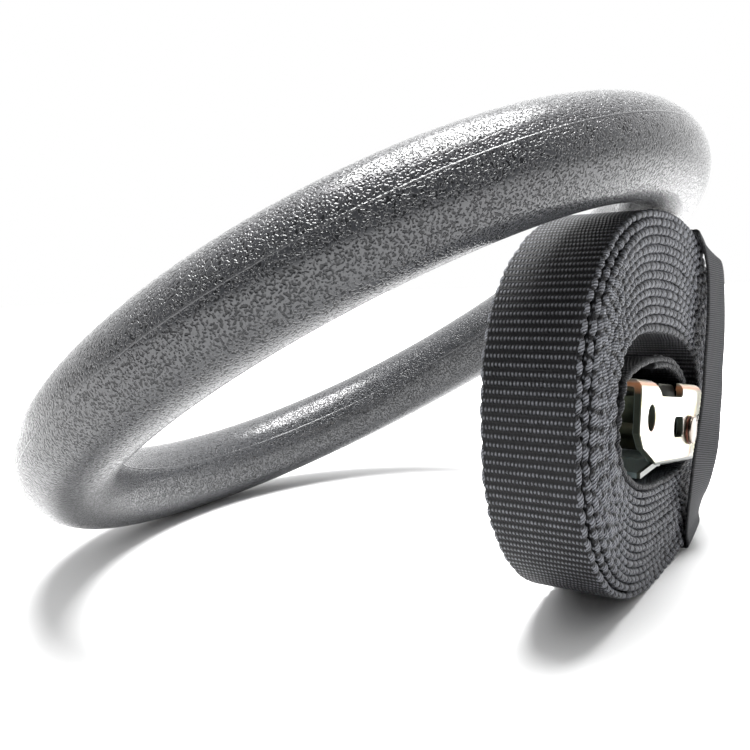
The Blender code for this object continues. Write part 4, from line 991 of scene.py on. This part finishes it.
def tape_skin():
    """Ribbed elastic tape: fine cross ribs with the gaps between them painted dark as shade, and darker
    along each edge.
    """
    skin, shader = new_skin("ribbed_elastic_tape")
    flat = add(skin, "UVMap", {"uv_map": "flat"})
    axes = add(skin, "SeparateXYZ", None, {0: flat})
    crest = ripple(skin, axes.outputs[1], TAPE_RIB)
    place = add(skin, "TexCoord").outputs["Object"]
    fuzz = add(skin, "TexNoise", None, {"Vector": place, "Scale": 1 / TAPE_FUZZ_SIZE, "Detail": 3.0})
    height = add(skin, "Math", {"operation": "MULTIPLY_ADD"}, {0: fuzz, 1: 0.5, 2: crest})
    bump = add(skin, "Bump", None, {"Height": height, "Strength": 1.0, "Distance": TAPE_RELIEF})
    # Painted shade: the colour is darker in the gaps between the ribs than on their crests.
    bright = add(skin, "Math", {"operation": "MULTIPLY_ADD"}, {0: fuzz, 1: 0.4, 2: crest})
    bright = add(skin, "MapRange", None, {"Value": bright, "From Min": 0.45, "From Max": 1.15})
    aside = add(skin, "Math", {"operation": "ABSOLUTE"}, {0: axes.outputs[0]})
    # Darker towards each edge: the tone falls to a quarter over TAPE_DARK_EDGE_BLUR, starting
    # TAPE_DARK_EDGE in from either side.
    rim = TAPE_WIDTH / 2 - TAPE_DARK_EDGE
    body = {"Value": aside, "From Min": rim, "From Max": rim + TAPE_DARK_EDGE_BLUR}
    body |= {"To Min": 1.0, "To Max": 0.25}
    bright = add(skin, "Math", {"operation": "MULTIPLY"}, {0: bright, 1: add(skin, "MapRange", None, body)})
    dark, light = linear(TAPE_DARK_COLOUR), linear(TAPE_COLOUR)
    tone = add(skin, "Mix", {"data_type": "RGBA"}, {0: bright, 6: dark, 7: light})
    wire(skin, tone.outputs[2], shader.inputs["Base Color"])
    wire(skin, bump, shader.inputs["Normal"])
    shader.inputs["Roughness"].default_value = 0.7
    shader.inputs["Specular IOR Level"].default_value = 0.25
    return skin


def tape_grid(columns):
    """Points of the tape: a section bent through its columns, round at its sides and thicker at ribs.

    Across, a place at s from -1 to 1 is left * s(s-1)/2 + middle * (1-s^2) + right * s(s+1)/2. The edges
    stand out a little at every second rib.
    """
    joined = np.concatenate([np.concatenate([column, column[:1]]) for column in columns], axis=1)
    both, _ = evenly(joined, TAPE_RIB * math.sqrt(2) / 4)
    left, middle, right = both[:-1, :3], both[:-1, 3:6], both[:-1, 6:]
    length = np.concatenate([[0], np.cumsum(np.linalg.norm(np.diff(middle, axis=0), axis=1))])
    closing = 2 * length[-1] - length[-2]
    length = length * round(closing / TAPE_RIB) * TAPE_RIB / closing
    across = right - left
    width = np.linalg.norm(across, axis=1)[:, None]
    across = across / width
    run = np.roll(middle, -1, axis=0) - np.roll(middle, 1, axis=0)
    normal = np.cross(across, run)
    normal /= np.linalg.norm(normal, axis=1)[:, None]
    half_thick = TAPE_THICKNESS / 2
    flat = np.linspace(1, -1, 12)
    bend = np.linspace(math.pi / 2, -math.pi / 2, 5)[1:-1]
    out = np.concatenate([flat[::-1], 1 + 0 * bend, flat, -1 + 0 * bend])
    swell = np.concatenate([0 * flat, np.cos(bend), 0 * flat, -np.cos(bend)])
    lift = np.concatenate([1 + 0 * flat, np.sin(bend), -1 + 0 * flat, -np.sin(bend)])
    rib = 0.82 + 0.18 * np.abs(np.sin(math.pi * length / TAPE_RIB))
    scallop = TAPE_SCALLOP * np.abs(np.sin(math.pi * length / TAPE_RIB / 2))[:, None]
    at = (out[None, :] * (1 - 2 * half_thick / width))[:, :, None]
    grid = left[:, None] * at * (at - 1) / 2 + middle[:, None] * (1 - at**2)
    grid = grid + right[:, None] * at * (at + 1) / 2
    aside = swell[None, :] * half_thick + out[None, :] ** 9 * scallop
    grid = grid + across[:, None] * aside[:, :, None]
    grid = grid + normal[:, None] * (lift[None, :] * half_thick * rib[:, None])[:, :, None]
    return grid, length, at[:, :, 0] * width / 2 + aside


def knot_line(root):
    """A thread wound into a small ball: a circle whose height follows one sine and its size another."""
    share = np.linspace(0, 1, 40)
    coil = np.stack([np.cos(share * 15), np.sin(share * 15), np.sin(share * 9 + 1) * 0.8], axis=-1)
    return root + KNOT_RADIUS * coil * (1 + 0.25 * np.sin(share * 31))[:, None]


tape_cloth = tape_skin()
columns = tape_columns()
grid, length, reach = tape_grid(columns)
closing = 2 * length[-1] - length[-2]
v = np.concatenate([length, [closing]])[:, None]
u = np.concatenate([reach, reach[:1]])
u = np.concatenate([u, u[:, :1]], axis=1)
uv = np.stack(np.broadcast_arrays(u, v), axis=-1)
tape = grid_piece("keeper_tape", grid, tape_cloth, along=True, uv=uv)
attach(tape, "strap_roll")
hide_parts("keeper_band")

on_face = columns[2][columns[2][:, 1] < roll_y - STRAP_WIDTH / 2 - TAPE_REST]
root = on_face[np.argmax(on_face[:, 2])] + KNOT_OFFSET
knot = swept("tape_seam_knot", knot_line(root), KNOT_THREAD / 2, tape_cloth, sides=8)
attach(knot, "strap_roll")

# The stand for the picture: a white sweep under high-key light, so that its lit part near the object is
# as white as the picture can show and only the shadows keep a tone. Farther away it is plain white. The
# room's light is strong beyond the object and weak on the near side, at fixed directions.
FLOOR_COLOUR = "#fcfcfc"
FLOOR_SIZE = 6.0
WHITE_FROM = 0.26
WHITE_TO = 0.50
BACK_LEVEL = 2.0
FRONT_LEVEL = 0.04
LEVEL_SPAN = 0.8
KEY_PLACE = (0.12, 0.05, 1.0)
KEY_SIZE = 0.70
KEY_POWER = 30.0


def floor_skin():
    """White paper that glows, to the camera and in gloss, farther from the object than its shadow falls."""
    skin, shader = new_skin("white_paper_sweep")
    shader.inputs["Base Color"].default_value = linear(FLOOR_COLOUR)
    shader.inputs["Roughness"].default_value = 0.9
    shader.inputs["Specular IOR Level"].default_value = 0.0
    shader.inputs["Emission Color"].default_value = (1, 1, 1, 1)
    rays = add(skin, "LightPath")
    mirror = rays.outputs["Is Glossy Ray"]
    seen = add(skin, "Math", {"operation": "MAXIMUM"}, {0: rays.outputs["Is Camera Ray"], 1: mirror})
    place = add(skin, "TexCoord").outputs["Object"]
    away = add(skin, "VectorMath", {"operation": "LENGTH"}, {0: place})
    span = {"Value": away.outputs["Value"], "From Min": WHITE_FROM, "From Max": WHITE_TO}
    far = add(skin, "MapRange", {"interpolation_type": "SMOOTHSTEP"}, span)
    glow = add(skin, "Math", {"operation": "MULTIPLY"}, {0: seen, 1: far})
    wire(skin, glow, shader.inputs["Emission Strength"])
    return skin


paper = bpy.data.meshes.new("white_sweep")
corner = FLOOR_SIZE / 2
corners = [(-corner, -corner, 0), (corner, -corner, 0), (corner, corner, 0), (-corner, corner, 0)]
paper.from_pydata(corners, [], [(0, 1, 2, 3)])
paper.materials.append(floor_skin())
sweep = bpy.data.objects.new("white_sweep", paper)
bpy.context.scene.collection.objects.link(sweep)

world = bpy.data.worlds.new("studio")
bpy.context.scene.world = world
world.use_nodes = True
rays = add(world, "LightPath")
beyond = CAMERA_UP.cross(CAMERA_RIGHT)
direction = add(world, "TexCoord").outputs["Generated"]
toward = add(world, "VectorMath", {"operation": "DOT_PRODUCT"}, {0: direction, 1: beyond})
levels = {"Value": toward.outputs["Value"], "From Min": -LEVEL_SPAN, "From Max": LEVEL_SPAN}
levels |= {"To Min": FRONT_LEVEL, "To Max": BACK_LEVEL}
room = add(world, "MapRange", {"interpolation_type": "SMOOTHSTEP"}, levels)
level = add(world, "MapRange", None, {"Value": rays.outputs["Is Camera Ray"], "To Min": room})
back = world.node_tree.nodes["Background"]
back.inputs["Color"].default_value = (1, 1, 1, 1)
wire(world, level, back.inputs["Strength"])

softbox = bpy.data.lights.new("overhead_softbox", "AREA")
softbox.shape = "DISK"
softbox.size = KEY_SIZE
softbox.energy = KEY_POWER
holder = bpy.data.objects.new("overhead_softbox", softbox)
holder.location = KEY_PLACE
holder.rotation_euler = (-Vector(KEY_PLACE)).to_track_quat("-Z", "Y").to_euler()
bpy.context.scene.collection.objects.link(holder)
